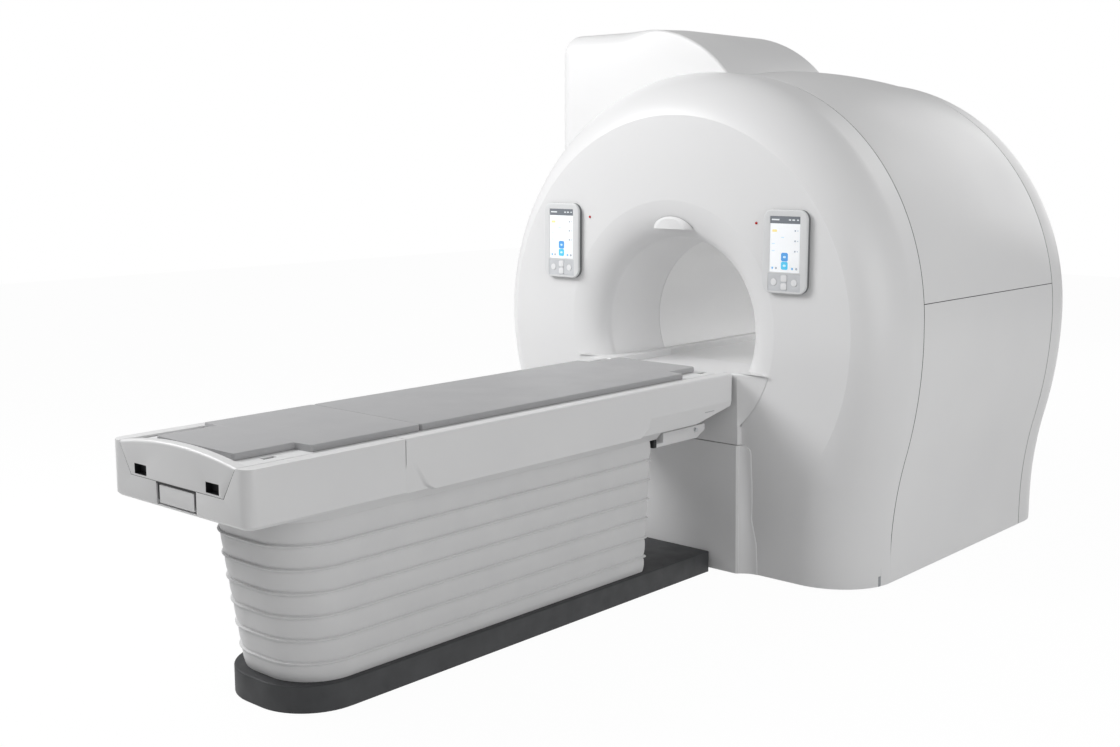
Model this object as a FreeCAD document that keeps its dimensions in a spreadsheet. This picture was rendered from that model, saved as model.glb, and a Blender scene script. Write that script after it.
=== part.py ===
"""Magnetic resonance scanner: covered magnet with its bore, and the patient table.

Frame: origin on the floor under the middle of the bore, +X to the right of
someone who faces the bore, +Y into the bore, +Z up. Sizes are in millimetres.
"""
import FreeCAD
import Part
import Sketcher
import math
import os

V = FreeCAD.Vector
X_AXIS, Y_AXIS, Z_AXIS = V(1, 0, 0), V(0, 1, 0), V(0, 0, 1)

doc = FreeCAD.newDocument("scanner")
sheet = doc.addObject("Spreadsheet::Sheet", "sizes")

SIZES = dict(
    # covered magnet: half of its outline, as seen from the front
    shell_half=960, arch_rise=1014, arch_height=955,
    waist_half=856, waist_height=110, flank_radius=1850,
    cover_wall=7, cover_lift=8, seam_gap=3,
    seam_place=591, seam_bend_height=1000, seam_lean=5, split_height=1094,
    front_place=906, face_place=890, edge_radius=250, chin_lean=4.2, chin_height=930,
    chin_grow=8,
    rear_place=891, rear_edge_radius=240,
    # bore and the flare in front of it
    bore_height=952, bore_radius=350, liner_wall=7, liner_half=492,
    throat_radius=365, throat_place=794, flare_wide=170, flare_angle=78,
    rear_flare_radius=90,
    # magnet and coils
    coil_radius=372, gradient_radius=440, magnet_bore=450, magnet_radius=850,
    magnet_half=640, magnet_edge=70, gradient_half=610, body_coil_half=300,
    ring_width=60, neck_x=-380, neck_y=-270, neck_radius=150, neck_top=2010,
    frame_long=1290, frame_wide=1040, frame_high=40,
    cradle_long=160, cradle_wide=960, cradle_high=420, cradle_place=430,
    cover_frame_long=108, cover_frame_deep=22, cover_frame_place=540, strut_wide=70,
    strut_thick=30, arm_x=382, arm_high=40, arm_bar_deep=12,
    # turret over the cold head
    turret_left=810, turret_top=2163, turret_front=656, turret_rear=100,
    turret_corner=90, turret_flat_end=-316, turret_shoulder=560, turret_wall=6,
    turret_round=45, turret_edge=14,
    # dock in front of the bore
    dock_half=348, dock_front=880, dock_mid_front=896, dock_split=527, dock_bevel=9,
    dock_wing_half=484, dock_wing_top=811, panel_back=40,
    dock_nose_half=346, dock_nose_front=909, dock_wing_front=889, dock_wing_low=588,
    dock_back=800,
    shelf_deep=51, channel_half=279, channel_height=783, panel_flange=62, panel_wall=5,
    # operator panels beside the bore
    panel_wide=190, panel_high=310, panel_thick=24, panel_x=550, panel_z=1287,
    panel_corner=36, screen_wide=130, screen_high=206, screen_sink=1.5, screen_rise=28,
    keypad_wide=140, keypad_high=66, keypad_corner=20, keypad_drop=113,
    key_round=13, key_side=25, key_reach=44, key_step=15, key_out=2, key_stroke=1.5,
    key_gap=0.4, key_deep=5,
    lamp_radius=5, lamp_x=410, lamp_z=1388, lamp_out=4,
    hood_wide=95, hood_high=58, hood_deep=42, hood_z=1352, hood_place=860,
    # table pedestal
    plate_half=227, plate_front=2932, plate_rear=905, plate_high=85, plate_corner=190,
    plate_edge=5,
    bellows_foot=204, bellows_head=232, bellows_top=594, bellows_rear=1294,
    bellows_front_foot=2893, bellows_front_head=2962, bellows_corner=165, bellows_rear_corner=14,
    bellows_wall=8, rib_count=6, rib_first=145, rib_pitch=75, rib_out=6, rib_high=7,
    bellows_belly=4,
    column_side=180, column_wall=6, column_gap=1, column_high=200, column_front=2450,
    column_rear=1650, lift_travel=300,
    # table body
    table_half=335, rim_height=812, table_front=3171, table_rear=925, table_bottom=641,
    end_bottom=643, tail_start=1129, tail_bottom=684,
    foot_seam=2603, side_wall=5, rim_wide=46, rim_deep=27, skirt_bottom=637,
    skirt_front=2500, skirt_rear=1450, skirt_rise=30, side_tuck=14, table_corner=36, end_bevel=10, end_wall=40,
    belly_half=238, belly_bottom=594, belly_front=2996, belly_rear=1232, belly_in=28,
    belly_wide=262, belly_wall=4, belly_hole=190, belly_corner=165,
    flange_half=302, flange_front=3100, flange_rear=1132,
    beam_wide=60, beam_high=90, beam_x=190, beam_bottom=612, beam_front=3040, beam_rear=960,
    cross_wide=100, outrigger_wide=60, outrigger_high=22,
    runner_wide=30, runner_long=130, runner_gap=0.4, block_rear=965, block_long=60,
    actuator_wide=90, actuator_high=40, carriage_long=120, carriage_wide=70,
    housing_half=240, housing_front=1270, housing_rear=965, housing_bottom=562,
    housing_bevel=24, housing_plate=14, knob_radius=8, knob_long=10, knob_place=1029,
    knob_z=596, latch_long=16, latch_wide=34,
    # sliding tabletop
    board_half=272, board_rear=935, board_thick=24, board_top=808, board_corner=20,
    pad_half=264, pad_tab_half=194, pad_thick=24, pad_front=3108, pad_tab_front=2895,
    pad_seam=2475, pad_tab_rear=1140, pad_rear=968, pad_edge=5, pad_crown=3, pad_draw=2,
    cap_top_half=287, cap_low_half=228, cap_low=719, cap_crest=838, cap_thick=34,
    cap_gap=1.5, socket_x=178, socket_wide=62, socket_high=31, socket_low=724.5,
    socket_deep=22, coil_x=226, coil_front=3016, coil_rear=970, coil_long=46, coil_wide=20,
    coil_deep=9,
    # release paddle under the cap
    paddle_half=85, paddle_low=657, paddle_high=710, paddle_thick=12, paddle_pin=3,
    paddle_pin_drop=7, ear_wide=8, ear_low=664, ear_gap=3,
)

# one row of the sheet for each size: its name in column A, its value in column B
for row, (alias, value) in enumerate(SIZES.items(), start=1):
    sheet.set("A%d" % row, alias)
    sheet.set("B%d" % row, str(value))
    sheet.setAlias("B%d" % row, alias)
doc.recompute()


def size(alias):
    """The value of one cell of the sheet."""
    return float(sheet.get(alias))


def cell(text):
    """An expression in the sheet's aliases: each {name} becomes a cell."""
    return text.replace("{", "sizes.").replace("}", "")


def bind(thing, **sizes):
    """Binds properties to expressions in the sheet's aliases."""
    for name, text in sizes.items():
        thing.setExpression(name, cell(text))
    return thing


def place(thing, x=0, y=0, z=0, axis=None, turn=0):
    """Gives a sub-part its place, and a turn about an axis if it needs one."""
    rotation = FreeCAD.Rotation(axis, turn) if axis else FreeCAD.Rotation()
    thing.Placement = FreeCAD.Placement(V(x, y, z), rotation)
    return thing


nodes = []


def node(thing, label):
    """Marks an object of the document as a sub-part, with its own label."""
    thing.Label = label
    nodes.append(thing)
    return thing


def feature(label, shape, x=0, y=0, z=0):
    """A sub-part whose shape comes from Part's own functions."""
    thing = doc.addObject("Part::Feature", label + "_form")
    thing.Shape = shape
    place(thing, x, y, z)
    return node(thing, label)


# ---------------------------------------------------------------- Part forms

def box(name, wide, deep, high, x=0, y=0, z=0):
    """A box from its lowest corner, with its sizes bound to the sheet."""
    made = doc.addObject("Part::Box", name)
    bind(made, Length=wide, Width=deep, Height=high)
    return place(made, x, y, z)


def rod(name, radius, long, x=0, y=0, z=0, along=None):
    """A cylinder from the middle of one end: upright, or along X or Y."""
    made = doc.addObject("Part::Cylinder", name)
    bind(made, Radius=radius, Height=long)
    turns = {None: (None, 0), "y": (X_AXIS, -90), "x": (Y_AXIS, 90)}
    axis, turn = turns[along]
    return place(made, x, y, z, axis, turn)


def cut(name, base, tool):
    """Part::Cut of two objects of the document."""
    made = doc.addObject("Part::Cut", name)
    made.Base, made.Tool = base, tool
    return made


def fuse(name, *pieces):
    """Part::MultiFuse of objects of the document."""
    made = doc.addObject("Part::MultiFuse", name)
    made.Shapes = list(pieces)
    return made


def tube(label, outer, inner, half):
    """A tube about the bore's axis, as long before as behind the middle."""
    start, bore = -size(half), size("bore_height")
    skin = rod(label + "_skin", outer, "2*{%s}" % half, 0, start, bore, "y")
    hollow = rod(label + "_hollow", inner, "2*{%s}" % half, 0, start, bore, "y")
    return cut(label + "_cut", skin, hollow)


# ---------------------------------------------------------- PartDesign forms

def origin_plane(body, role):
    """One of a body's own origin planes."""
    return next(item for item in body.Origin.OriginFeatures if item.Role == role)


def rectangle(body, role, wide, high, name):
    """A sketch with a rectangle about the origin, its two sizes bound to the sheet."""
    sketch = body.newObject("Sketcher::SketchObject", name)
    sketch.AttachmentSupport = (origin_plane(body, role), [""])
    sketch.MapMode = "FlatFace"
    corners = [V(-10, -10, 0), V(10, -10, 0), V(10, 10, 0), V(-10, 10, 0)]
    for start, end in zip(corners, corners[1:] + corners[:1]):
        sketch.addGeometry(Part.LineSegment(start, end), False)
    sketch_rule = Sketcher.Constraint
    rules = [sketch_rule("Coincident", side, 2, (side + 1) % 4, 1) for side in range(4)]
    rules += [sketch_rule("Horizontal", 0), sketch_rule("Horizontal", 2)]
    rules += [sketch_rule("Vertical", 1), sketch_rule("Vertical", 3)]
    rules += [sketch_rule("Symmetric", 0, 1, 2, 1, -1, 1)]
    sketch.addConstraint(rules)
    across = sketch.addConstraint(sketch_rule("DistanceX", 0, 1, 0, 2, 20))
    upward = sketch.addConstraint(sketch_rule("DistanceY", 1, 1, 1, 2, 20))
    sketch.setExpression("Constraints[%d]" % across, cell(wide))
    sketch.setExpression("Constraints[%d]" % upward, cell(high))
    return sketch


def circle(body, role, radius, name):
    """A sketch with a circle about the origin, its radius bound to the sheet."""
    sketch = body.newObject("Sketcher::SketchObject", name)
    sketch.AttachmentSupport = (origin_plane(body, role), [""])
    sketch.MapMode = "FlatFace"
    sketch.addGeometry(Part.Circle(V(0, 0, 0), Z_AXIS, 10), False)
    sketch.addConstraint(Sketcher.Constraint("Coincident", 0, 3, -1, 1))
    around = sketch.addConstraint(Sketcher.Constraint("Radius", 0, 10))
    sketch.setExpression("Constraints[%d]" % around, cell(radius))
    return sketch


def pad(body, sketch, length, name):
    """A pad of a sketch, its length bound to the sheet."""
    made = body.newObject("PartDesign::Pad", name)
    made.Profile = sketch
    bind(made, Length=length)
    body.Tip = made
    doc.recompute()
    return made


def pocket(body, sketch, depth, name, back=False):
    """A pocket of a sketch into the pad, its depth bound to the sheet."""
    made = body.newObject("PartDesign::Pocket", name)
    made.Profile = sketch
    made.Reversed = back
    bind(made, Length=depth)
    body.Tip = made
    doc.recompute()
    return made


def rounded(body, base, wanted, radius, name):
    """A fillet on the edges of a feature that a test picks."""
    picked = ["Edge%d" % (number + 1) for number, edge in enumerate(base.Shape.Edges)
              if wanted(edge)]
    made = body.newObject("PartDesign::Fillet", name)
    made.Base = (base, picked)
    bind(made, Radius=radius)
    body.Tip = made
    doc.recompute()
    return made


def runs_along(axis):
    """A test for straight edges that run along an axis of the body."""
    def test(edge):
        if not isinstance(edge.Curve, Part.Line):
            return False
        return abs(edge.tangentAt(edge.FirstParameter).dot(axis)) > 0.999
    return test


def lies_at(axis, height):
    """A test for edges that lie whole in one plane square to an axis."""
    def test(edge):
        low = edge.BoundBox
        ends = {"x": (low.XMin, low.XMax), "y": (low.YMin, low.YMax),
                "z": (low.ZMin, low.ZMax)}[axis]
        return max(abs(end - height) for end in ends) < 0.01
    return test


def new_body(label):
    """An empty body that will be a sub-part."""
    return node(doc.addObject("PartDesign::Body", label + "_body"), label)




# ------------------------------------------------- outline of the magnet covers

def flank(inset=0.0):
    """Radii and centres of the two arcs of a flank: bulge above, waist below."""
    half, waist = size("shell_half") - inset, size("waist_half") - inset
    top, foot = size("arch_height"), size("waist_height")
    across, down = half - waist, top - foot
    both = (across ** 2 + down ** 2) / (2 * across)
    bulge = size("flank_radius") - inset
    share = bulge / both
    bend = V(half - bulge + (waist + both - half) * share, 0, top - down * share)
    return half, waist, top, foot, bulge, both - bulge, bend


def outline(inset=0.0, bottom=None, place_y=0.0):
    """The face inside the covers' outline, drawn in by an inset, at one depth.

    The arch is half an ellipse; each flank is a bulge arc that turns into a
    waist arc, and a straight foot.
    """
    half, waist, top, foot, bulge, hollow, bend = flank(inset)
    low = size("cover_lift") if bottom is None else bottom
    rise = size("arch_rise") - inset
    angle = math.asin((top - bend.z) / bulge)
    bend_x = half - bulge + bulge * math.cos(angle)
    mid = angle / 2

    def spot(x, z):
        return V(x, place_y, z)

    def side(sign):
        upper = Part.Arc(spot(sign * half, top),
                         spot(sign * (half - bulge + bulge * math.cos(mid)),
                              top - bulge * math.sin(mid)),
                         spot(sign * bend_x, bend.z))
        lower_mid = (spot(0, foot + hollow * math.sin(mid)).z,
                     waist + hollow - hollow * math.cos(mid))
        lower = Part.Arc(spot(sign * bend_x, bend.z),
                         spot(sign * lower_mid[1], lower_mid[0]),
                         spot(sign * waist, foot))
        straight = Part.LineSegment(spot(sign * waist, foot), spot(sign * waist, low))
        return [upper.toShape(), lower.toShape(), straight.toShape()]

    ellipse = Part.Ellipse(spot(0, top + rise), spot(half, top), spot(0, top))
    arch = Part.Arc(ellipse, -math.pi / 2, math.pi / 2).toShape()
    floor = Part.LineSegment(spot(-waist, low), spot(waist, low)).toShape()
    edges = Part.sortEdges([arch, floor] + side(1) + side(-1))[0]
    return Part.Face(Part.Wire(edges))


def drum(start, end, inset=0.0, bottom=None):
    """The outline carried along Y from one depth to another."""
    return outline(inset, bottom, start).extrude(V(0, end - start, 0))


def wedge(points, wide=2400):
    """A prism across the whole width, from a profile of (y, z) points."""
    corners = [V(-wide / 2, y, z) for y, z in points]
    return Part.Face(Part.makePolygon(corners + corners[:1])).extrude(V(wide, 0, 0))


def ahead_of_seam(shift=0.0):
    """Everything in front of the front seam, which leans forward above its bend."""
    place_y, bend = -size("seam_place") + shift, size("seam_bend_height")
    rise = 1400
    lean = rise * math.tan(math.radians(size("seam_lean")))
    return wedge([(place_y, -50), (place_y, bend), (place_y - lean, bend + rise),
                  (-1500, bend + rise), (-1500, -50)])


def turned(profile, at_y=0.0):
    """A solid of revolution about the bore's axis from a closed (radius, y) wire."""
    return Part.Face(profile).revolve(V(0, 0, 0), Y_AXIS, 360)


def flare_profile(offset=0.0, far=None):
    """Edges of the flare and throat, from the face inwards, as (radius, y).

    The flare is part of an ellipse that ends along the throat, a slow cone
    that meets the bore's liner.
    """
    end = math.radians(size("flare_angle"))
    throat, place_y = size("throat_radius") + offset, -size("throat_place")
    wide = size("flare_wide") - offset
    deep = (size("face_place") - size("throat_place")) / math.sin(end) - offset

    def spot(turn):
        radius = throat + wide * (1 - math.cos(turn))
        return V(radius, place_y - deep * math.sin(turn), 0)

    arc = Part.Arc(spot(end), spot(end * 0.52), spot(0))
    bore = V(size("bore_radius") + offset, -size("liner_half"), 0)
    return spot(end), arc.toShape(), spot(0), bore


def raised(shape):
    """Lifts a shape that was turned about Y at the floor to the bore's height."""
    moved = shape.copy()
    moved.translate(V(0, 0, size("bore_height")))
    return moved


# -------------------------------------------------------------- magnet covers

def front_form(inset=0.0):
    """The front cover's form, drawn in by an inset: rolled edge, flat face, chin.

    The outline is carried to the front and its front edge is rolled. The same
    form tipped back makes the chin recede below the bore, and a flat face is
    cut across both.
    """
    front, radius = -size("front_place") + inset, size("edge_radius") - inset
    bottom = -60 if inset else None

    def rolled(grow, bottom):
        block = drum(front, -300, inset - grow, bottom)
        rim = [edge for edge in block.Edges
               if lies_at("y", front)(edge) and edge.BoundBox.ZMax > 0
               and not (edge.BoundBox.ZMax - edge.BoundBox.ZMin < 0.01)]
        return block.makeFillet(radius, rim)

    block, chin = rolled(0, bottom), rolled(size("chin_grow"), -200)
    pivot = V(0, front, size("chin_height"))
    chin.rotate(pivot, X_AXIS, size("chin_lean"))
    face = Part.makeBox(2400, 1200, 2600, V(-1200, -size("face_place") + inset, -100))
    return block.common(chin).common(face)


def front_cover():
    """Front cover: a moulded shell with the flare, the throat and the dock's shelf."""
    wall = size("cover_wall")
    seam = ahead_of_seam(-size("seam_gap") / 2)
    shell = front_form().cut(front_form(wall)).common(seam)
    outer_end, outer_arc, outer_throat, outer_bore = flare_profile(0.0)
    inner_end, inner_arc, inner_throat, inner_bore = flare_profile(wall)
    line = Part.LineSegment
    funnel = Part.Wire([outer_arc, line(outer_throat, outer_bore).toShape(),
                        line(outer_bore, inner_bore).toShape(),
                        line(inner_bore, inner_throat).toShape(), inner_arc,
                        line(inner_end, outer_end).toShape()])
    mouth = Part.makeCylinder(outer_end.x, 200,
                              V(0, -size("face_place") - 100, size("bore_height")), Y_AXIS)
    shell = shell.cut(mouth).fuse(raised(turned(funnel)))
    air = flare_air()
    top, deep = size("dock_wing_top"), size("shelf_deep")
    slab = Part.makeBox(1200, 600, deep, V(-600, -size("face_place") - 1, top - deep))
    channel_high = top - size("channel_height")
    channel = Part.makeBox(2 * size("channel_half"), 900, channel_high + 1,
                           V(-size("channel_half"), -size("table_rear") - 40,
                             size("channel_height")))
    shelf = air.common(slab)
    shell = shell.fuse(dock_upper()).fuse(shelf).cut(channel)
    shell = shell.cut(lower_cut_out())
    for sign in (1, -1):
        hole = Part.makeCylinder(size("lamp_radius"), 60,
                                 V(sign * size("lamp_x"), -size("face_place") - 30,
                                   size("lamp_z")), Y_AXIS)
        shell = shell.cut(hole)
    return shell.removeSplitter()


def flare_air():
    """The air inside the flare and the throat."""
    end, arc, throat, bore = flare_profile()
    line = Part.LineSegment
    back, ahead = V(0, bore.y, 0), V(0, end.y, 0)
    return raised(turned(Part.Wire([arc, line(throat, bore).toShape(),
                                    line(bore, back).toShape(),
                                    line(back, ahead).toShape(),
                                    line(ahead, end).toShape()])))


def light_hood():
    """Hood of the positioning lights: the front upper quarter of a squashed ball."""
    stretch = FreeCAD.Matrix()
    stretch.scale(size("hood_wide"), size("hood_deep"), size("hood_high"))
    ball = Part.makeSphere(1).transformGeometry(stretch)
    ball.translate(V(0, -size("hood_place"), size("hood_z")))
    above = Part.makeBox(400, 400, 200, V(-200, -size("hood_place") - 200, size("hood_z")))
    ahead = Part.makeBox(1200, 200, 1200, V(-600, -size("face_place") - 200, 600))
    return ball.common(above).common(flare_air().fuse(ahead))


def dock_depth(height):
    """Depth of the dock's front at a height: it leans forward from the floor up."""
    floor, middle, nose = size("dock_front"), size("dock_mid_front"), size("dock_nose_front")
    low, top = size("dock_wing_low"), size("dock_wing_top")
    if height < low:
        return -(floor + (middle - floor) * height / low)
    return -(middle + (nose - middle) * (height - low) / (top - low))


def dock_ring(reach, bend, edge, back, height):
    """Plan of the dock at a height: level front, slanted wings and a straight back."""
    tip = dock_depth(height)
    return Part.makePolygon([V(-reach, edge, height), V(-bend, tip, height),
                             V(bend, tip, height), V(reach, edge, height),
                             V(reach, back, height), V(-reach, back, height),
                             V(-reach, edge, height)])


def dock_upper():
    """The dock above the lower panel: a block that widens into two wings at its top."""
    half, wing, bevel = size("dock_half"), size("dock_wing_half"), size("dock_bevel")
    split, low, top = size("dock_split"), size("dock_wing_low"), size("dock_wing_top")
    back, tip = -size("dock_back"), dock_depth(low) + bevel
    block = Part.makeLoft([dock_ring(half, half - bevel, dock_depth(split) + bevel, back, split),
                           dock_ring(half, half - bevel, tip, back, low)], True, True)
    wings = Part.makeLoft([dock_ring(half, half - bevel, tip, back, low),
                           dock_ring(wing, size("dock_nose_half"), -size("dock_wing_front"),
                                     back, top)], True, True)
    return block.fuse(wings)


def lower_cut_out():
    """The room that the lower front panel takes out of the front cover."""
    half = size("dock_half") + size("panel_flange")
    return Part.makeBox(2 * half, 500, size("dock_split") + 60, V(-half, -1100, -60))


def lower_front_panel():
    """Lower front panel: a box over the dock's foot with a flange beside it."""
    half, wall, gap = size("dock_half"), size("panel_wall"), size("seam_gap")
    bevel, split, low = size("dock_bevel"), size("dock_split"), size("cover_lift")
    back = -size("dock_back") + size("panel_back")
    edge = half + size("panel_flange") - gap
    skin = front_form().cut(front_form(size("cover_wall")))
    flange = skin.common(Part.makeBox(2 * edge, 700, split - gap - low,
                                      V(-edge, -1100, low)))

    def block(inset, bottom, top):
        rings = [dock_ring(half - inset, half - inset - bevel,
                           dock_depth(height) + bevel, back, height)
                 for height in (bottom, top)]
        form = Part.makeLoft(rings, True, True)
        form.translate(V(0, inset, 0))
        return form

    outer, inner = block(0, low, split - gap), block(wall, low - 1, split - gap - wall)
    inside = front_form(size("cover_wall"))
    return outer.cut(inner).cut(inside).fuse(flange.cut(inner)).removeSplitter()


def ring_of_covers(start, end, low, high):
    """A stretch of the covers between two depths and two heights."""
    wall = size("cover_wall")
    skin = drum(start, end).cut(drum(start - 1, end + 1, wall, -60))
    slab = Part.makeBox(2400, end - start + 2, high - low, V(-1200, start - 1, low))
    return skin.common(slab)


def top_cover():
    """Top cover: the arch between the seams, with a hole for the magnet's neck."""
    gap, seam = size("seam_gap") / 2, size("seam_place")
    arch = ring_of_covers(-seam - 200, seam - gap, size("split_height") + gap, 2100)
    arch = arch.cut(ahead_of_seam(gap))
    hole = Part.makeCylinder(size("neck_radius") + 10, 900,
                             V(size("neck_x"), size("neck_y"), 1400))
    return arch.cut(hole)


def side_cover(sign):
    """Side cover below the arch, from seam to seam on one side."""
    gap, seam = size("seam_gap") / 2, size("seam_place")
    skirt = ring_of_covers(-seam - 200, seam - gap, 0, size("split_height") - gap)
    skirt = skirt.cut(ahead_of_seam(gap))
    half = Part.makeBox(1200, 2400, 1500, V(0 if sign > 0 else -1200, -1200, -50))
    return skirt.common(half)


def rear_form(inset=0.0):
    """The rear cover's form, drawn in by an inset: the outline with a rolled edge."""
    rear, radius = size("rear_place") - inset, size("rear_edge_radius") - inset
    block = drum(300, rear, inset, -60 if inset else None)
    rim = [edge for edge in block.Edges
           if lies_at("y", rear)(edge) and edge.BoundBox.ZMax > 0
           and not (edge.BoundBox.ZMax - edge.BoundBox.ZMin < 0.01)]
    return block.makeFillet(radius, rim)


def rear_cover():
    """Rear cover with a smaller flare round the bore's far end."""
    wall, rear = size("cover_wall"), size("rear_place")
    shell = rear_form().cut(rear_form(wall))
    start = size("seam_place") + size("seam_gap") / 2
    shell = shell.common(Part.makeBox(2400, 1200, 2400, V(-1200, start, -100)))
    turn, bore = size("rear_flare_radius"), size("bore_radius")
    line = Part.LineSegment
    centre = V(bore + turn, rear - turn, 0)

    def spot(radius, angle):
        return V(centre.x - radius * math.cos(angle), centre.y + radius * math.sin(angle), 0)

    quarter, eighth = math.pi / 2, math.pi / 4
    outer = Part.Arc(spot(turn, quarter), spot(turn, eighth), spot(turn, 0)).toShape()
    small = turn - wall
    inner = Part.Arc(spot(small, quarter), spot(small, eighth), spot(small, 0)).toShape()
    near = V(bore, size("liner_half"), 0)
    near_wall = V(bore + wall, size("liner_half"), 0)
    funnel = Part.Wire([outer, line(spot(turn, 0), near).toShape(),
                        line(near, near_wall).toShape(),
                        line(near_wall, spot(small, 0)).toShape(), inner,
                        line(spot(small, quarter), spot(turn, quarter)).toShape()])
    mouth = Part.makeCylinder(bore + turn, 300, V(0, rear - 100, size("bore_height")), Y_AXIS)
    return shell.cut(mouth).fuse(raised(turned(funnel))).removeSplitter()


def turret_face(inset, place_y):
    """The turret's front: a straight left side, a flat top and a long shoulder."""
    left, top = -size("turret_left") + inset, size("turret_top") - inset
    corner, flat = size("turret_corner") - inset, size("turret_flat_end")
    bend = size("turret_shoulder") - inset
    reach = math.radians(62)
    low = 1250
    bow = math.radians(45)

    def spot(x, z):
        return V(x, place_y, z)

    corner_mid = spot(left + corner - corner * math.cos(bow),
                      top - corner + corner * math.sin(bow))
    shoulder_mid = spot(flat + bend * math.sin(reach / 2), top - bend + bend * math.cos(reach / 2))
    shoulder_end = spot(flat + bend * math.sin(reach), top - bend + bend * math.cos(reach))
    line = Part.LineSegment
    edges = [line(spot(left, low), spot(left, top - corner)).toShape(),
             Part.Arc(spot(left, top - corner), corner_mid, spot(left + corner, top)).toShape(),
             line(spot(left + corner, top), spot(flat, top)).toShape(),
             Part.Arc(spot(flat, top), shoulder_mid, shoulder_end).toShape(),
             line(shoulder_end, spot(shoulder_end.x, low)).toShape(),
             line(spot(shoulder_end.x, low), spot(left, low)).toShape()]
    return Part.Face(Part.Wire(edges))


def turret_form(inset=0.0):
    """The turret's form, drawn in by an inset, with its front and rear rims rounded."""
    front, rear = inset - size("turret_front"), size("turret_rear") - inset
    block = turret_face(inset, front).extrude(V(0, rear - front, 0))
    right = block.BoundBox.XMax

    def rim(depth):
        return [edge for edge in block.Edges if lies_at("y", depth)(edge)
                and edge.BoundBox.ZMax > 1260 and edge.BoundBox.XMin < right - 1]

    block = block.makeFillet(size("turret_round") - inset, rim(rear))
    return block.makeFillet(size("turret_edge") - inset, rim(front))


def turret_cover():
    """Turret cover: a shell over the magnet's neck that rests on the arch."""
    shell = turret_form().cut(turret_form(size("turret_wall")))
    return shell.cut(drum(-1100, 1100, 0.0, -60))


def cover_frame(sign):
    """Ring frame that carries the covers at a seam, on struts from the magnet."""
    long, deep, wall = (size(name) for name in
                        ("cover_frame_long", "cover_frame_deep", "cover_wall"))
    inner = sign * size("cover_frame_place")
    start = min(inner, inner + sign * long)
    ring = drum(start, start + long, wall).cut(drum(start - 1, start + long + 1,
                                                    wall + deep, -60))
    wide, thick = size("strut_wide"), size("strut_thick")
    near = min(inner, inner + sign * thick)
    bore = size("bore_height")
    bar = Part.makeBox(2 * size("shell_half"), thick, wide,
                       V(-size("shell_half"), near, bore - wide / 2))
    upright = Part.makeBox(wide, thick, 700, V(-wide / 2, near, 1500))
    keep = drum(near, near + thick, wall + deep / 2, 200)
    hole = Part.makeCylinder(size("magnet_radius"), 400, V(0, near - 200, bore), Y_AXIS)
    frame = ring.fuse(bar.fuse(upright).common(keep).cut(hole))
    if sign > 0:
        return frame
    # two arms at the foot reach forward to the lower front panel
    inside = front_form(wall)
    foot, front, high = size("cover_lift"), inner - long, size("arm_high")
    bar_deep = size("arm_bar_deep")
    bar = Part.makeBox(2 * size("waist_half"), bar_deep, high,
                       V(-size("waist_half"), front - bar_deep, foot))
    frame = frame.fuse(bar)
    for side in (1, -1):
        arm = Part.makeBox(high, 400, high, V(side * size("arm_x") - high / 2,
                                              front - 399, foot))
        frame = frame.fuse(arm)
    return frame.common(inside).removeSplitter()


# ------------------------------------------------------------------- magnet

def magnet_vessel():
    """Magnet vessel: a thick ring with rounded edges and the neck for the cold head."""
    half, edge = size("magnet_half"), size("magnet_edge")
    inner, outer = size("magnet_bore"), size("magnet_radius")
    line, bow = Part.LineSegment, math.radians(45)
    slope = edge * (1 - math.cos(bow))

    def rim(sign):
        return Part.Arc(V(outer - edge, sign * half, 0),
                        V(outer - slope, sign * (half - slope), 0),
                        V(outer, sign * (half - edge), 0)).toShape()

    wire = Part.Wire([line(V(inner, -half, 0), V(outer - edge, -half, 0)).toShape(), rim(-1),
                      line(V(outer, edge - half, 0), V(outer, half - edge, 0)).toShape(),
                      rim(1), line(V(outer - edge, half, 0), V(inner, half, 0)).toShape(),
                      line(V(inner, half, 0), V(inner, -half, 0)).toShape()])
    ring = raised(turned(wire))
    start = size("bore_height") + size("magnet_radius") - 250
    neck = Part.makeCylinder(size("neck_radius"), size("neck_top") - start,
                             V(size("neck_x"), size("neck_y"), start))
    return ring.fuse(neck)


def cold_head():
    """Cold head on the neck: a flange, its cylinder and the drive block beside it."""
    top = size("neck_top")
    flange = Part.makeCylinder(100, 16, V(0, 0, 0))
    barrel = Part.makeCylinder(48, 92, V(0, 0, 0))
    drive = Part.makeBox(130, 84, 60, V(0, -42, 30))
    form = flange.fuse(barrel).fuse(drive.makeFillet(10, drive.Edges))
    return feature("cold_head", form, size("neck_x"), size("neck_y"), top)


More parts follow.
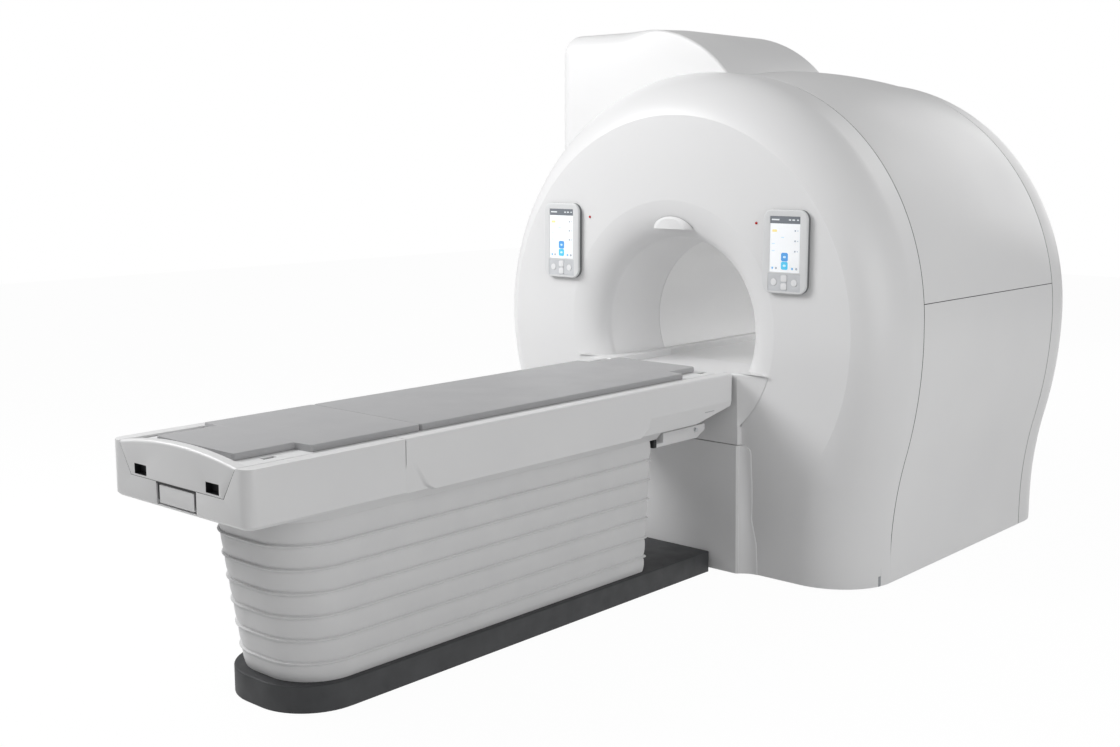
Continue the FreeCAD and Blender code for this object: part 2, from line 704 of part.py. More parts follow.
def magnet_parts():
    """The magnet, its cradles on the floor plate, and the coils inside its bore."""
    frame = new_body("anchor_plate")
    plan = rectangle(frame, "XY_Plane", "{frame_wide}", "{frame_long}", "frame_plan")
    pad(frame, plan, "{frame_high}", "frame_pad")

    feature("magnet_vessel", magnet_vessel())
    bore = size("bore_height")
    cradles = []
    for name, sign in (("front", -1), ("rear", 1)):
        start = sign * size("cradle_place") - size("cradle_long") / 2
        block = box(name + "_cradle_block", "{cradle_wide}", "{cradle_long}", "{cradle_high}",
                    -size("cradle_wide") / 2, start, size("frame_high"))
        seat = rod(name + "_cradle_seat", "{magnet_radius}", "{cradle_long}",
                   0, start, bore, "y")
        cradles.append(cut(name + "_cradle", block, seat))
    node(fuse("cradle_pair", *cradles), "magnet_cradles")
    node(tube("gradient_coil", "{gradient_radius}", "{coil_radius}", "gradient_half"),
         "gradient_coil")
    node(tube("rf_body_coil", "{coil_radius}", "{bore_radius}+{liner_wall}",
              "body_coil_half"), "rf_body_coil")
    node(tube("bore_liner", "{bore_radius}+{liner_wall}", "{bore_radius}", "liner_half"),
         "bore_liner")
    rings = []
    for name, sign in (("front", -1), ("rear", 1)):
        start = sign * size("gradient_half") - (size("ring_width") if sign > 0 else 0)
        skin = rod(name + "_ring_skin", "{magnet_bore}", "{ring_width}", 0, start, bore, "y")
        hollow = rod(name + "_ring_hollow", "{gradient_radius}", "{ring_width}",
                     0, start, bore, "y")
        rings.append(cut(name + "_ring", skin, hollow))
    node(fuse("gradient_rings", *rings), "gradient_mount_rings")
    cold_head()


def bore_bridge():
    """Bridge in the bore: a channel for the tabletop that rests on the liner."""
    half, top = size("liner_half"), size("dock_wing_top")
    deep, wide = size("shelf_deep"), size("channel_half")
    inside = Part.makeCylinder(size("bore_radius"), 2 * half,
                               V(0, -half, size("bore_height")), Y_AXIS)
    slab = Part.makeBox(900, 2 * half, deep, V(-450, -half, top - deep))
    channel = Part.makeBox(2 * wide, 2 * half + 2, deep,
                           V(-wide, -half - 1, size("channel_height")))
    return inside.common(slab).cut(channel)


# ---------------------------------------------------------- operator panels

def operator_panel(side, sign):
    """An operator panel: housing, screen, keypad and its four keys."""
    front = -size("face_place") - size("panel_thick")
    middle_x, middle_z = sign * size("panel_x"), size("panel_z")
    prefix = "panel_%s_" % side

    housing = new_body(prefix + "housing")
    face = rectangle(housing, "XZ_Plane", "{panel_wide}", "{panel_high}", prefix + "face")
    solid = pad(housing, face, "{panel_thick}", prefix + "pad")
    solid.Reversed = True
    doc.recompute()
    solid = rounded(housing, solid, runs_along(Y_AXIS), "{panel_corner}", prefix + "corners")
    solid = rounded(housing, solid, lies_at("y", 0), "4", prefix + "front_edge")
    for part, wide, high, drop, deep in (
            ("screen", "{screen_wide}", "{screen_high}", size("screen_rise"), "3"),
            ("keypad", "{keypad_wide}", "{keypad_high}", -size("keypad_drop"), "{key_deep}+3")):
        window = rectangle(housing, "XZ_Plane", wide, high, prefix + part + "_window")
        window.AttachmentOffset = FreeCAD.Placement(V(0, drop, 0), FreeCAD.Rotation())
        doc.recompute()
        pocket(housing, window, deep, prefix + part + "_pocket")
    place(housing, middle_x, front, middle_z)

    screen = new_body(prefix + "screen")
    glass = rectangle(screen, "XZ_Plane", "{screen_wide}", "{screen_high}", prefix + "glass")
    pad(screen, glass, "3-{screen_sink}", prefix + "glass_pad").Reversed = True
    place(screen, middle_x, front + size("screen_sink"), middle_z + size("screen_rise"))

    keys_z = middle_z - size("keypad_drop")
    plate = box(prefix + "plate", "{keypad_wide}", "3", "{keypad_high}",
                middle_x - size("keypad_wide") / 2, front + 1,
                keys_z - size("keypad_high") / 2)
    reach, step = size("key_reach"), size("key_step")
    spots = {"in": (-reach, 0), "out": (reach, 0), "up": (0, step), "down": (0, -step)}
    holes = []
    for name, (across, upward) in spots.items():
        x, z = middle_x + across, keys_z + upward
        key_front = front + 1 - size("key_out")
        if upward:
            holes.append(box(prefix + name + "_hole", "{key_side}+2*{key_gap}", "3",
                             "{key_side}+2*{key_gap}",
                             x - size("key_side") / 2 - size("key_gap"), front + 1,
                             z - size("key_side") / 2 - size("key_gap")))
            key = new_body(prefix + "key_" + name)
            shape = rectangle(key, "XZ_Plane", "{key_side}", "{key_side}",
                              prefix + name + "_plan")
            solid = pad(key, shape, "{key_deep}", prefix + name + "_pad")
            solid.Reversed = True
            doc.recompute()
            rounded(key, solid, runs_along(Y_AXIS), "6", prefix + name + "_corners")
        else:
            holes.append(rod(prefix + name + "_hole", "{key_round}+{key_gap}", "3",
                             x, front + 1, z, "y"))
            key = new_body(prefix + "key_" + name)
            shape = circle(key, "XZ_Plane", "{key_round}", prefix + name + "_plan")
            solid = pad(key, shape, "{key_deep}", prefix + name + "_pad")
            solid.Reversed = True
            doc.recompute()
            rounded(key, solid, lies_at("y", 0), "1", prefix + name + "_edge")
        place(key, x, key_front, z)
    node(cut(prefix + "keypad_cut", plate, fuse(prefix + "holes", *holes)),
         prefix + "keypad")


# ------------------------------------------------------------ table pedestal

def plan_ring(half, front, rear, round_front, height):
    """A plan at one height: straight sides, a well rounded front, small rear corners."""
    round_rear = size("bellows_rear_corner")
    slope = 1 - math.cos(math.radians(45))

    def corner(x, y, radius, sign_x, sign_y):
        first = V(x, y + sign_y * radius, height)
        middle = V(x - sign_x * radius * slope, y + sign_y * radius * slope, height)
        last = V(x - sign_x * radius, y, height)
        return first, middle, last

    spots = [corner(half, front, round_front, 1, 1), corner(-half, front, round_front, -1, 1),
             corner(-half, rear, round_rear, -1, -1), corner(half, rear, round_rear, 1, -1)]
    (a1, a2, a3), (b1, b2, b3), (c1, c2, c3), (d1, d2, d3) = spots
    line = Part.LineSegment
    return Part.Wire([Part.Arc(a1, a2, a3).toShape(), line(a3, b3).toShape(),
                      Part.Arc(b3, b2, b1).toShape(), line(b1, c1).toShape(),
                      Part.Arc(c1, c2, c3).toShape(), line(c3, d3).toShape(),
                      Part.Arc(d3, d2, d1).toShape(), line(d1, a1).toShape()])


def bellows_ring(height, out=0.0, inset=0.0):
    """The bellows' plan at one height, moved out or in: it widens towards the head."""
    share = (height - size("plate_high")) / (size("bellows_top") - size("plate_high"))
    foot, head = size("bellows_front_foot"), size("bellows_front_head")
    half = size("bellows_foot") + share * (size("bellows_head") - size("bellows_foot"))
    front = -(foot + share * (head - foot) + out - inset)
    rear = -size("bellows_rear") + out - inset
    return plan_ring(half + out - inset, front, rear, size("bellows_corner") - inset, height)


def bellows():
    """Bellows round the lift: slack panels between stitched ribs that stand out."""
    low, top = size("plate_high"), size("bellows_top")
    rib, high, belly = size("rib_out"), size("rib_high"), size("bellows_belly")
    levels = [(low, 0.0)]
    for number in range(int(size("rib_count"))):
        middle = size("rib_first") + number * size("rib_pitch")
        last = levels[-1][0]
        levels.append(((last + middle) / 2, belly))
        levels += [(middle - high / 2, 0.0), (middle, rib), (middle + high / 2, 0.0)]
    levels.append(((levels[-1][0] + top) / 2, belly))
    levels.append((top, 0.0))
    outer = Part.makeLoft([bellows_ring(height, out) for height, out in levels], True, True)
    wall = size("bellows_wall")
    inner = Part.makeLoft([bellows_ring(low - 1, 0, wall), bellows_ring(top + 1, 0, wall)],
                          True, True)
    return outer.cut(inner)


def columns(label, stage, bottom):
    """One stage of the two square lift columns."""
    side = size("column_side") - 2 * stage * (size("column_wall") + size("column_gap"))
    outer = "{column_side}-2*%d*({column_wall}+{column_gap})" % stage
    pair = []
    for name, middle in (("front", -size("column_front")), ("rear", -size("column_rear"))):
        skin = box(label + name, outer, outer, "{column_high}",
                   -side / 2, middle - side / 2, bottom)
        if stage == 2:
            pair.append(skin)
            continue
        hollow = box(label + name + "_hollow", outer + "-2*{column_wall}",
                     outer + "-2*{column_wall}", "{column_high}",
                     -side / 2 + size("column_wall"), middle - side / 2 + size("column_wall"),
                     bottom)
        pair.append(cut(label + name + "_tube", skin, hollow))
    return node(fuse(label + "_pair", *pair), label)


def pedestal():
    """Base plate, bellows and the three stages of the lift columns."""
    plate = new_body("base_plate")
    plan = rectangle(plate, "XY_Plane", "2*{plate_half}", "{plate_front}-{plate_rear}",
                     "plate_plan")
    solid = pad(plate, plan, "{plate_high}", "plate_pad")
    half_long = (size("plate_front") - size("plate_rear")) / 2
    solid = rounded(plate, solid,
                    lambda edge: runs_along(Z_AXIS)(edge) and edge.CenterOfMass.y < 0,
                    "{plate_corner}", "plate_corners")
    rounded(plate, solid, lies_at("z", size("plate_high")), "{plate_edge}", "plate_edge_round")
    place(plate, 0, -size("plate_front") + half_long, 0)

    feature("bellows", bellows())
    low, high = size("plate_high"), size("column_high")
    top = size("bellows_top")
    columns("lift_columns_outer", 0, low)
    columns("lift_columns_middle", 1, low + 1 + size("lift_travel") / 2)
    columns("lift_columns_inner", 2, top - high)


# ---------------------------------------------------------------- table body

def side_section(sign, place_y, skirt=True):
    """Section of a table side: rim, outer wall and a tucked-in lower edge."""
    half, top, wall = size("table_half"), size("rim_height"), size("side_wall")
    rim, deep, tuck = size("rim_wide"), size("rim_deep"), size("side_tuck")
    low = size("skirt_bottom") if skirt else size("table_bottom")
    bend = low + size("skirt_rise")
    edge = 0 if skirt else tuck
    points = [(half - rim, top - deep), (half - rim, top), (half - 6, top), (half, top - 6),
              (half, bend), (half - edge, bend - edge), (half - edge - 4, low),
              (half - edge - 30, low), (half - edge - 30, low + wall),
              (half - edge - 4 - wall, low + wall), (half - wall, bend + wall),
              (half - wall, top - 6 - wall / 2), (half - rim + wall, top - wall),
              (half - rim + wall, top - deep)]
    corners = [V(sign * x, place_y, z) for x, z in points]
    return Part.Face(Part.makePolygon(corners + corners[:1]))


def table_side(sign):
    """Long side cover: a deeper skirt over the bellows, tucked in behind it."""
    seam, rear = -size("foot_seam") + size("seam_gap") / 2, -size("table_rear")
    low = size("table_bottom")
    skirt_start, skirt_end = -size("skirt_front"), -size("skirt_rear")
    pieces = [side_section(sign, seam, False).extrude(V(0, skirt_start - seam, 0)),
              side_section(sign, skirt_start).extrude(V(0, skirt_end - skirt_start, 0)),
              side_section(sign, skirt_end, False).extrude(V(0, rear - skirt_end, 0))]
    start = -size("tail_start")
    tail = wedge([(start, low), (rear + 1, size("tail_bottom")), (rear + 1, low - 50),
                  (start, low - 50)])
    return pieces[0].fuse(pieces[1]).fuse(pieces[2]).cut(tail).removeSplitter()


def cap_outline(grow, place_y):
    """The cap's face: narrow below, sloped sides and an arched top."""
    top, low = size("rim_height"), size("cap_low") - grow
    wide, narrow = size("cap_top_half") + grow, size("cap_low_half") + grow
    line = Part.LineSegment
    left, right = V(-wide, place_y, top), V(wide, place_y, top)
    arch = Part.Arc(left, V(0, place_y, size("cap_crest") + grow), right)
    return Part.Face(Part.Wire([
        arch.toShape(), line(right, V(wide - 6, place_y, top - 8)).toShape(),
        line(V(wide - 6, place_y, top - 8), V(narrow, place_y, low)).toShape(),
        line(V(narrow, place_y, low), V(-narrow, place_y, low)).toShape(),
        line(V(-narrow, place_y, low), V(6 - wide, place_y, top - 8)).toShape(),
        line(V(6 - wide, place_y, top - 8), left).toShape()]))


def foot_end_cover():
    """Foot end cover: both sides and the end wall, open where the cap sits."""
    half, top, low = size("table_half"), size("rim_height"), size("table_bottom")
    front, seam = -size("table_front"), -size("foot_seam") - size("seam_gap") / 2
    wall, rim, deep = size("side_wall"), size("rim_wide"), size("rim_deep")
    side = [V(-half, front, size("end_bottom")), V(-half, seam, low),
            V(-half, seam, top + 18), V(-half, front, top + 18)]
    block = Part.Face(Part.makePolygon(side + side[:1])).extrude(V(2 * half, 0, 0))
    uprights = [edge for edge in block.Edges
                if runs_along(Z_AXIS)(edge) and abs(edge.CenterOfMass.y - front) < 1]
    block = block.makeFillet(size("table_corner"), uprights)
    under = [edge for edge in block.Edges
             if edge.BoundBox.ZMax < size("end_bottom") + 1 and edge.CenterOfMass.y < seam - 1]
    block = block.makeChamfer(size("end_bevel"), under)
    block = block.common(Part.makeBox(900, 900, top - low, V(-450, front - 10, low)))
    inside, end_wall = wall + size("side_tuck"), size("end_wall")
    hollow = Part.makeBox(2 * (half - inside), seam - front - end_wall, top - low - wall,
                          V(-half + inside, front + end_wall, low - 1))
    open_top = Part.makeBox(2 * (half - rim), seam - front, top - low,
                            V(-half + rim, front + 31, low + 10))
    notch = cap_outline(size("cap_gap"), front - 5).extrude(V(0, 60, 0))
    above = Part.makeBox(2 * size("cap_top_half"), 60, 60,
                         V(-size("cap_top_half"), front - 5, top - 2))
    bay_half = size("paddle_half") + size("ear_wide") + 2 * size("ear_gap")
    bay = Part.makeBox(2 * bay_half, 30, size("cap_low") - size("paddle_low") + 8,
                       V(-bay_half, front - 5, size("paddle_low") - 6))
    body = block.cut(hollow).cut(open_top).cut(notch).cut(above).cut(bay)
    under_rim = Part.makeBox(2 * (half - inside), seam - front - end_wall, 12,
                             V(-half + inside, front + end_wall, low - 1))
    return body.cut(under_rim).removeSplitter()


def end_cap():
    """End cap of the tabletop: an arched block with two square sockets."""
    front, thick = -size("table_front"), size("cap_thick")
    block = cap_outline(0, front).extrude(V(0, thick, 0))
    crest = [edge for edge in block.Edges
             if lies_at("y", front)(edge) and edge.BoundBox.ZMax > size("rim_height") + 2]
    block = block.makeFillet(9, crest)
    for sign in (1, -1):
        socket = Part.makeBox(size("socket_wide"), size("socket_deep"), size("socket_high"),
                              V(sign * size("socket_x") - size("socket_wide") / 2,
                                front, size("socket_low")))
        block = block.cut(socket)
    return block


def belly_pan():
    """Belly pan: a tray over the bellows with a flat flange under the side covers."""
    top, low, wall = size("table_bottom"), size("belly_bottom"), size("belly_wall")
    wide, narrow, hole = size("belly_wide"), size("belly_half"), size("belly_hole")
    front, rear, inward = -size("belly_front"), -size("belly_rear"), size("belly_in")
    corner, flange = size("belly_corner"), size("flange_half")
    outer = Part.makeLoft([plan_ring(narrow, front + inward, rear - inward, corner, low),
                           plan_ring(wide, front, rear, corner, top)], True, True)
    inner = Part.makeLoft([plan_ring(narrow - wall, front + inward + wall,
                                     rear - inward - wall, corner - wall, low + wall),
                           plan_ring(wide - wall, front + wall, rear - wall, corner - wall,
                                     top + 0.1)], True, True)
    start, end = -size("flange_front"), -size("flange_rear")
    plate = Part.makeBox(2 * flange, end - start, wall, V(-flange, start, top - wall))
    tray = outer.fuse(plate).cut(inner)
    for middle in (-size("column_front"), -size("column_rear")):
        tray = tray.cut(Part.makeBox(hole, hole, 40, V(-hole / 2, middle - hole / 2, low - 9)))
    reach = size("beam_x") + size("beam_wide") / 2 + 5
    room = Part.makeBox(2 * reach, end - start + 200, 60,
                        V(-reach, start - 100, size("beam_bottom") - 2))
    return tray.cut(room)


def table_frame():
    """Table frame: two long box beams joined by cross beams over the columns."""
    half, x = size("beam_wide") / 2, size("beam_x")
    front, rear = size("beam_front"), size("beam_rear")
    low = size("beam_bottom")
    parts = []
    for name, sign in (("left", -1), ("right", 1)):
        parts.append(box("beam_" + name, "{beam_wide}", "{beam_front}-{beam_rear}",
                         "{beam_high}", sign * x - half, -front, low))
    for name, middle in (("foot", front - 120), ("front", size("column_front")),
                         ("rear", size("column_rear")), ("head", rear + 120)):
        parts.append(box("cross_" + name, "2*{beam_x}", "{cross_wide}", "{beam_high}/2",
                         -x, -middle - size("cross_wide") / 2, low))
    wall, tuck = size("side_wall"), size("side_tuck")
    for name, middle, cover in (("a", front - 50, wall + tuck), ("b", 2680, wall + tuck),
                                ("c", 2300, wall), ("d", 1560, wall), ("e", rear + 100, wall)):
        for side, sign in (("left", -1), ("right", 1)):
            reach = size("table_half") - cover
            parts.append(box("outrigger_%s_%s" % (name, side), "{table_half}-%g-{beam_x}" % cover,
                             "{outrigger_wide}", "{outrigger_high}",
                             x if sign > 0 else -reach,
                             -middle - size("outrigger_wide") / 2,
                             low + size("beam_high") - size("outrigger_high")))
    for name, middle in (("front", size("column_front")), ("rear", size("column_rear"))):
        parts.append(box("head_plate_" + name, "{column_side}", "{column_side}",
                         "{beam_bottom}-{bellows_top}", -size("column_side") / 2,
                         -middle - size("column_side") / 2, size("bellows_top")))
    return node(fuse("table_frame_fuse", *parts), "table_frame")


def drive_housing():
    """Drive housing under the head end: a block on the beams and a plate before it."""
    half, low, top = size("housing_half"), size("housing_bottom"), size("beam_bottom")
    front, rear, bevel = -size("housing_front"), -size("housing_rear"), size("housing_bevel")
    plate = low + size("housing_plate")
    step = -size("belly_rear") + 4
    profile = [(front, low), (rear - 2 * bevel, low), (rear, low + bevel), (rear, top),
               (step, top), (step, plate), (front, plate)]
    corners = [V(-half, y, z) for y, z in profile]
    return Part.Face(Part.makePolygon(corners + corners[:1])).extrude(V(2 * half, 0, 0))


def table_body():
    """Everything that the lift carries apart from the sliding tabletop."""
    table_frame()
    feature("table_side_cover_left", table_side(-1))
    feature("table_side_cover_right", table_side(1))
    feature("foot_end_cover", foot_end_cover())
    feature("belly_pan", belly_pan())
    feature("drive_housing", drive_housing())
    node(rod("housing_knob_rod", "{knob_radius}", "{knob_long}", size("housing_half"),
             -size("knob_place"), size("knob_z"), "x"), "drive_housing_knob")
    node(box("latch_block", "{latch_wide}", "{latch_long}", "{belly_bottom}-{housing_bottom}",
             size("housing_half") - size("latch_wide"),
             -size("housing_front") - size("latch_long"), size("housing_bottom")),
         "housing_latch")
    beam_top = size("beam_bottom") + size("beam_high")
    node(box("slide_block", "2*{beam_x}+{beam_wide}", "{block_long}",
             "{board_top}-{board_thick}-{runner_gap}-{beam_bottom}-{beam_high}",
             -size("beam_x") - size("beam_wide") / 2,
             -size("block_rear") - size("block_long"), beam_top), "tabletop_slide_block")
    node(box("actuator_box", "{actuator_wide}", "{beam_front}-{beam_rear}", "{actuator_high}",
             -size("actuator_wide") / 2, -size("beam_front"),
             size("beam_bottom") + size("beam_high") / 2), "linear_actuator")


# ---------------------------------------------------------- sliding tabletop

def pad_form(start, end, tab_end, label):
    """A mat with a narrower tab: a crowned top, and long sides drawn in between corners."""
    half, tab, thick = size("pad_half"), size("pad_tab_half"), size("pad_thick")
    draw, crown = size("pad_draw"), size("pad_crown")
    line = Part.LineSegment
    side_mid, tab_mid = (start + tab_end) / 2, (tab_end + end) / 2

    def bowed(x, first, middle, last):
        inside = x - draw if x > 0 else x + draw
        return Part.Arc(V(x, first, 0), V(inside, middle, 0), V(x, last, 0)).toShape()

    edges = [line(V(-half, start, 0), V(half, start, 0)).toShape(),
             bowed(half, start, side_mid, tab_end),
             line(V(half, tab_end, 0), V(tab, tab_end, 0)).toShape(),
             bowed(tab, tab_end, tab_mid, end),
             line(V(tab, end, 0), V(-tab, end, 0)).toShape(),
             bowed(-tab, end, tab_mid, tab_end),
             line(V(-tab, tab_end, 0), V(-half, tab_end, 0)).toShape(),
             bowed(-half, tab_end, side_mid, start)]
    block = Part.Face(Part.Wire(edges)).extrude(V(0, 0, thick))
    uprights = [edge for edge in block.Edges if runs_along(Z_AXIS)(edge)]
    block = block.makeFillet(6, uprights)
    bend = half * half / (2 * crown)
    low, high = min(start, end) - 20, max(start, end) + 20
    arch = Part.makeCylinder(bend, high - low, V(0, low, thick - bend), Y_AXIS)
    room = Part.makeBox(2 * half + 40, high - low, 2 * thick, V(-half - 20, low, 0))
    block = block.common(arch.common(room))
    rim = [edge for edge in block.Edges if edge.BoundBox.ZMin > thick - crown - 1]
    return feature(label, block.makeFillet(size("pad_edge"), rim), 0, 0, size("board_top"))


def tabletop():
    """Sliding board with its mats, coil sockets, end cap and drive carriage."""
    long = "{table_front}-{cap_thick}-{board_rear}"
    board = new_body("tabletop_board")
    plan = rectangle(board, "XY_Plane", "2*{board_half}", long, "board_plan")
    solid = pad(board, plan, "{board_thick}", "board_pad")
    solid = rounded(board, solid,
                    lambda edge: runs_along(Z_AXIS)(edge) and edge.CenterOfMass.y > 0,
                    "{board_corner}", "board_corners")
    middle = -(size("table_front") - size("cap_thick") + size("board_rear")) / 2
    for number, (sign, spot) in enumerate(((1, "front"), (-1, "front"),
                                           (1, "rear"), (-1, "rear"))):
        window = rectangle(board, "XY_Plane", "{coil_wide}", "{coil_long}",
                           "socket_plan_%d" % number)
        window.AttachmentOffset = FreeCAD.Placement(
            V(sign * size("coil_x"), -size("coil_" + spot) - middle,
              size("board_thick")), FreeCAD.Rotation())
        doc.recompute()
        pocket(board, window, "{coil_deep}", "socket_pocket_%d" % number)
    place(board, 0, middle, size("board_top") - size("board_thick"))

    plugs = []
    for sign in (1, -1):
        for spot in ("front", "rear"):
            plugs.append(box("coil_plug_%s_%d" % (spot, sign), "{coil_wide}", "{coil_long}",
                             "{coil_deep}-4", sign * size("coil_x")
                             - size("coil_wide") / 2,
                             -size("coil_" + spot) - size("coil_long") / 2,
                             size("board_top") - size("coil_deep")))
    node(fuse("coil_plug_group", *plugs), "coil_sockets")

    seam = -size("pad_seam")
    pad_form(seam - 1, -size("pad_front"), -size("pad_tab_front"), "pad_foot")
    pad_form(seam + 1, -size("pad_rear"), -size("pad_tab_rear"), "pad_main")
    feature("end_cap", end_cap())
    start = size("cap_thick") - size("table_front")
    track = size("beam_bottom") + size("beam_high") / 2 + size("actuator_high")
    node(box("carriage", "{carriage_wide}", "{carriage_long}",
             "{board_top}-{board_thick}-{beam_bottom}-{beam_high}/2-{actuator_high}"
             "-{runner_gap}", -size("carriage_wide") / 2, start + 20,
             track + size("runner_gap")), "drive_carriage")
    runners = []
    for name, sign in (("left", -1), ("right", 1)):
        runners.append(box("runner_" + name, "{runner_wide}", "{runner_long}",
                           "{board_top}-{board_thick}-{beam_bottom}-{beam_high}-{runner_gap}",
                           sign * size("beam_x") - size("runner_wide") / 2, start + 4,
                           size("beam_bottom") + size("beam_high") + size("runner_gap")))
    node(fuse("runner_pair", *runners), "tabletop_runners")


def release_paddle():
    """Release paddle under the cap: a flap with two arms on a hinge pin."""
    front = -size("table_front")
    half, low, high = size("paddle_half"), size("paddle_low"), size("paddle_high")
    thick, pin = size("paddle_thick"), size("paddle_pin")
    plate = Part.makeBox(2 * half, thick, high - low, V(-half, front + 2, low))
    plate = plate.makeFillet(3, [edge for edge in plate.Edges if runs_along(Y_AXIS)(edge)])
    pin_z = high - size("paddle_pin_drop")
    pin_y = front + 2 + thick / 2
    hole = Part.makeCylinder(pin + 0.3, 4 * half, V(-2 * half, pin_y, pin_z), X_AXIS)
    feature("release_paddle", plate.cut(hole))
    reach = half + size("ear_gap") + size("ear_wide")
    feature("paddle_pin", Part.makeCylinder(pin, 2 * reach, V(-reach, pin_y, pin_z), X_AXIS))
    ears = []
    for sign in (-1, 1):
        inner = sign * (half + size("ear_gap"))
        start = inner if sign > 0 else inner - size("ear_wide")
        ears.append(Part.makeBox(size("ear_wide"), 21, high - size("ear_low") + 4,
                                 V(start, front + 4, size("ear_low"))))
    bore = Part.makeCylinder(pin, 4 * half, V(-2 * half, pin_y, pin_z), X_AXIS)
    feature("paddle_ears", Part.makeCompound([ear.cut(bore) for ear in ears]))


# -------------------------------------------------------------- whole scanner

magnet_parts()
feature("bore_bridge", bore_bridge())
feature("front_cover", front_cover())
feature("lower_front_panel", lower_front_panel())
feature("top_cover", top_cover())
feature("side_cover_left", side_cover(-1))
feature("side_cover_right", side_cover(1))
feature("rear_cover", rear_cover())
feature("turret_cover", turret_cover())
feature("light_hood", light_hood())
feature("front_cover_frame", cover_frame(-1))
feature("rear_cover_frame", cover_frame(1))
operator_panel("left", -1)
operator_panel("right", 1)
for side, sign in (("left", -1), ("right", 1)):
    node(rod("lamp_" + side, "{lamp_radius}", "{cover_wall}+{lamp_out}", sign * size("lamp_x"),
             -size("face_place") - size("lamp_out"), size("lamp_z"), "y"),
         "indicator_" + side)
pedestal()
table_body()
tabletop()
release_paddle()
doc.recompute()

bad = [item.Name for item in doc.Objects
       if "Invalid" in item.State or "Error" in item.State]
if bad:
    raise RuntimeError("objects in error: " + ", ".join(bad))
os.makedirs("parts", exist_ok=True)
for item in nodes:
    shape = item.Shape
    if shape.isNull() or not shape.isValid():
        raise RuntimeError("bad shape: " + item.Label)
    shape.exportStep("parts/%s.step" % item.Label)
    print("%-26s %d solid(s) %9.1f cm3" % (item.Label, len(shape.Solids),
                                           shape.Volume / 1000))
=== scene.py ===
import math

import bmesh
import bpy
import numpy as np
from mathutils import Matrix, Vector


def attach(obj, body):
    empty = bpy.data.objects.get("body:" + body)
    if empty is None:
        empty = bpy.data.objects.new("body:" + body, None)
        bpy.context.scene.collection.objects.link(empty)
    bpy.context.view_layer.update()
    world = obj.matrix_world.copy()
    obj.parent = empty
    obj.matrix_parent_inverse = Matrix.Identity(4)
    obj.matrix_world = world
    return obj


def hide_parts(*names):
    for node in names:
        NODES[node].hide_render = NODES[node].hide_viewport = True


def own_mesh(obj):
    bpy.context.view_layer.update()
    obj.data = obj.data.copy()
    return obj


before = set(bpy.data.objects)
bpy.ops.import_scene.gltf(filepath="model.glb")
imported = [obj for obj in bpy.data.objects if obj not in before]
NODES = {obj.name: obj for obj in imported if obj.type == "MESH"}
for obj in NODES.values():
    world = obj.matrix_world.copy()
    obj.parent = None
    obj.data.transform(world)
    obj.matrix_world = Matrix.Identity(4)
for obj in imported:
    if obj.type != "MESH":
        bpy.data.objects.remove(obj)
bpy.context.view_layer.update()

SCENE = bpy.context.scene

# lengths are millimetres in the part's own frame; the camera, the stage and Blender's own
# settings are in metres
MM = 0.001
HALF, RISE, WIDEST = 960.0, 1014.0, 955.0      # covers: half width, arch height, widest height
WAIST, WAIST_Z, FLANK = 856.0, 110.0, 1850.0   # covers: foot's half width, its height, side arc
LIFT = 8.0                                     # covers: gap to the floor
SEAM, SPLIT, GAP = 591.0, 1094.0, 3.0          # seams: depth, height, width
CROWN = 30.0                                   # top cover: rise half way between its seams
FRONT, ROLL = 905.0, 250.0                     # front cover: foremost depth, edge radius
CHIN, CHIN_Z = 67.0, 950.0                     # front cover: how far its foot draws back, from where
CREASE, CREASE_Z, DISH = 825.0, 970.0, 13.0    # crescent: radius, middle; how far the face is set in
REAR, REAR_ROLL = 891.0, 240.0                 # rear cover: rearmost depth, edge radius
BORE_Z, BORE, RIM, RIM_Z = 952.0, 350.0, 500.0, 965.0   # bore; the flare's outer circle
THROAT, THROAT_Y = 365.0, 794.0                # throat's mouth: radius, depth
SWEEP = math.radians(78)                       # flare: the angle that its section turns through
LINER, WALL = 492.0, 7.0                       # bore lining: half length, thickness
TOP = 811.0                                    # height of the dock's shelf
CHANNEL, CHANNEL_Z = 279.0, 783.0              # tabletop's channel: half width, floor
PANEL_X, SHADE_Y = 550.0, 904.5                # operator panels: place across; depth behind which the housings are painted darker as shade
TURRET_FOOT = 1440.0                           # turret: where its skin ends, inside the covers


# ---------------------------------------------------------------- camera

def make_camera():
    """Camera at the photograph's place: 44.7 mm on a 36 mm frame, level, no shift."""
    turn, dip = math.radians(41.6), math.radians(8.87)
    camera = bpy.data.cameras.new("camera")
    camera.lens, camera.sensor_width, camera.sensor_fit = 44.74, 36.0, "HORIZONTAL"
    camera.clip_end = 100
    thing = bpy.data.objects.new("camera", camera)
    thing.matrix_world = (Matrix.Translation(Vector((3.346, -5.310, 1.636)))
                          @ Matrix.Rotation(turn, 4, "Z")
                          @ Matrix.Rotation(math.pi / 2 - dip, 4, "X"))
    SCENE.collection.objects.link(thing)
    SCENE.camera = thing


make_camera()


# ---------------------------------------------------------------- material tools

def shade(code):
    """A hex colour as linear light: each part's sRGB curve is undone."""
    parts = [int(code[i:i + 2], 16) / 255 for i in (0, 2, 4)]
    return [p / 12.92 if p <= 0.04045 else ((p + 0.055) / 1.055) ** 2.4 for p in parts] + [1.0]


def add(tree, kind, inputs=None, **settings):
    """Adds one node, sets its settings, and fills or links its inputs."""
    made = tree.nodes.new(kind)
    for key, value in settings.items():
        setattr(made, key, value)
    for key, value in (inputs or {}).items():
        if isinstance(value, bpy.types.NodeSocket):
            tree.links.new(value, made.inputs[key])
        else:
            made.inputs[key].default_value = value
    return made


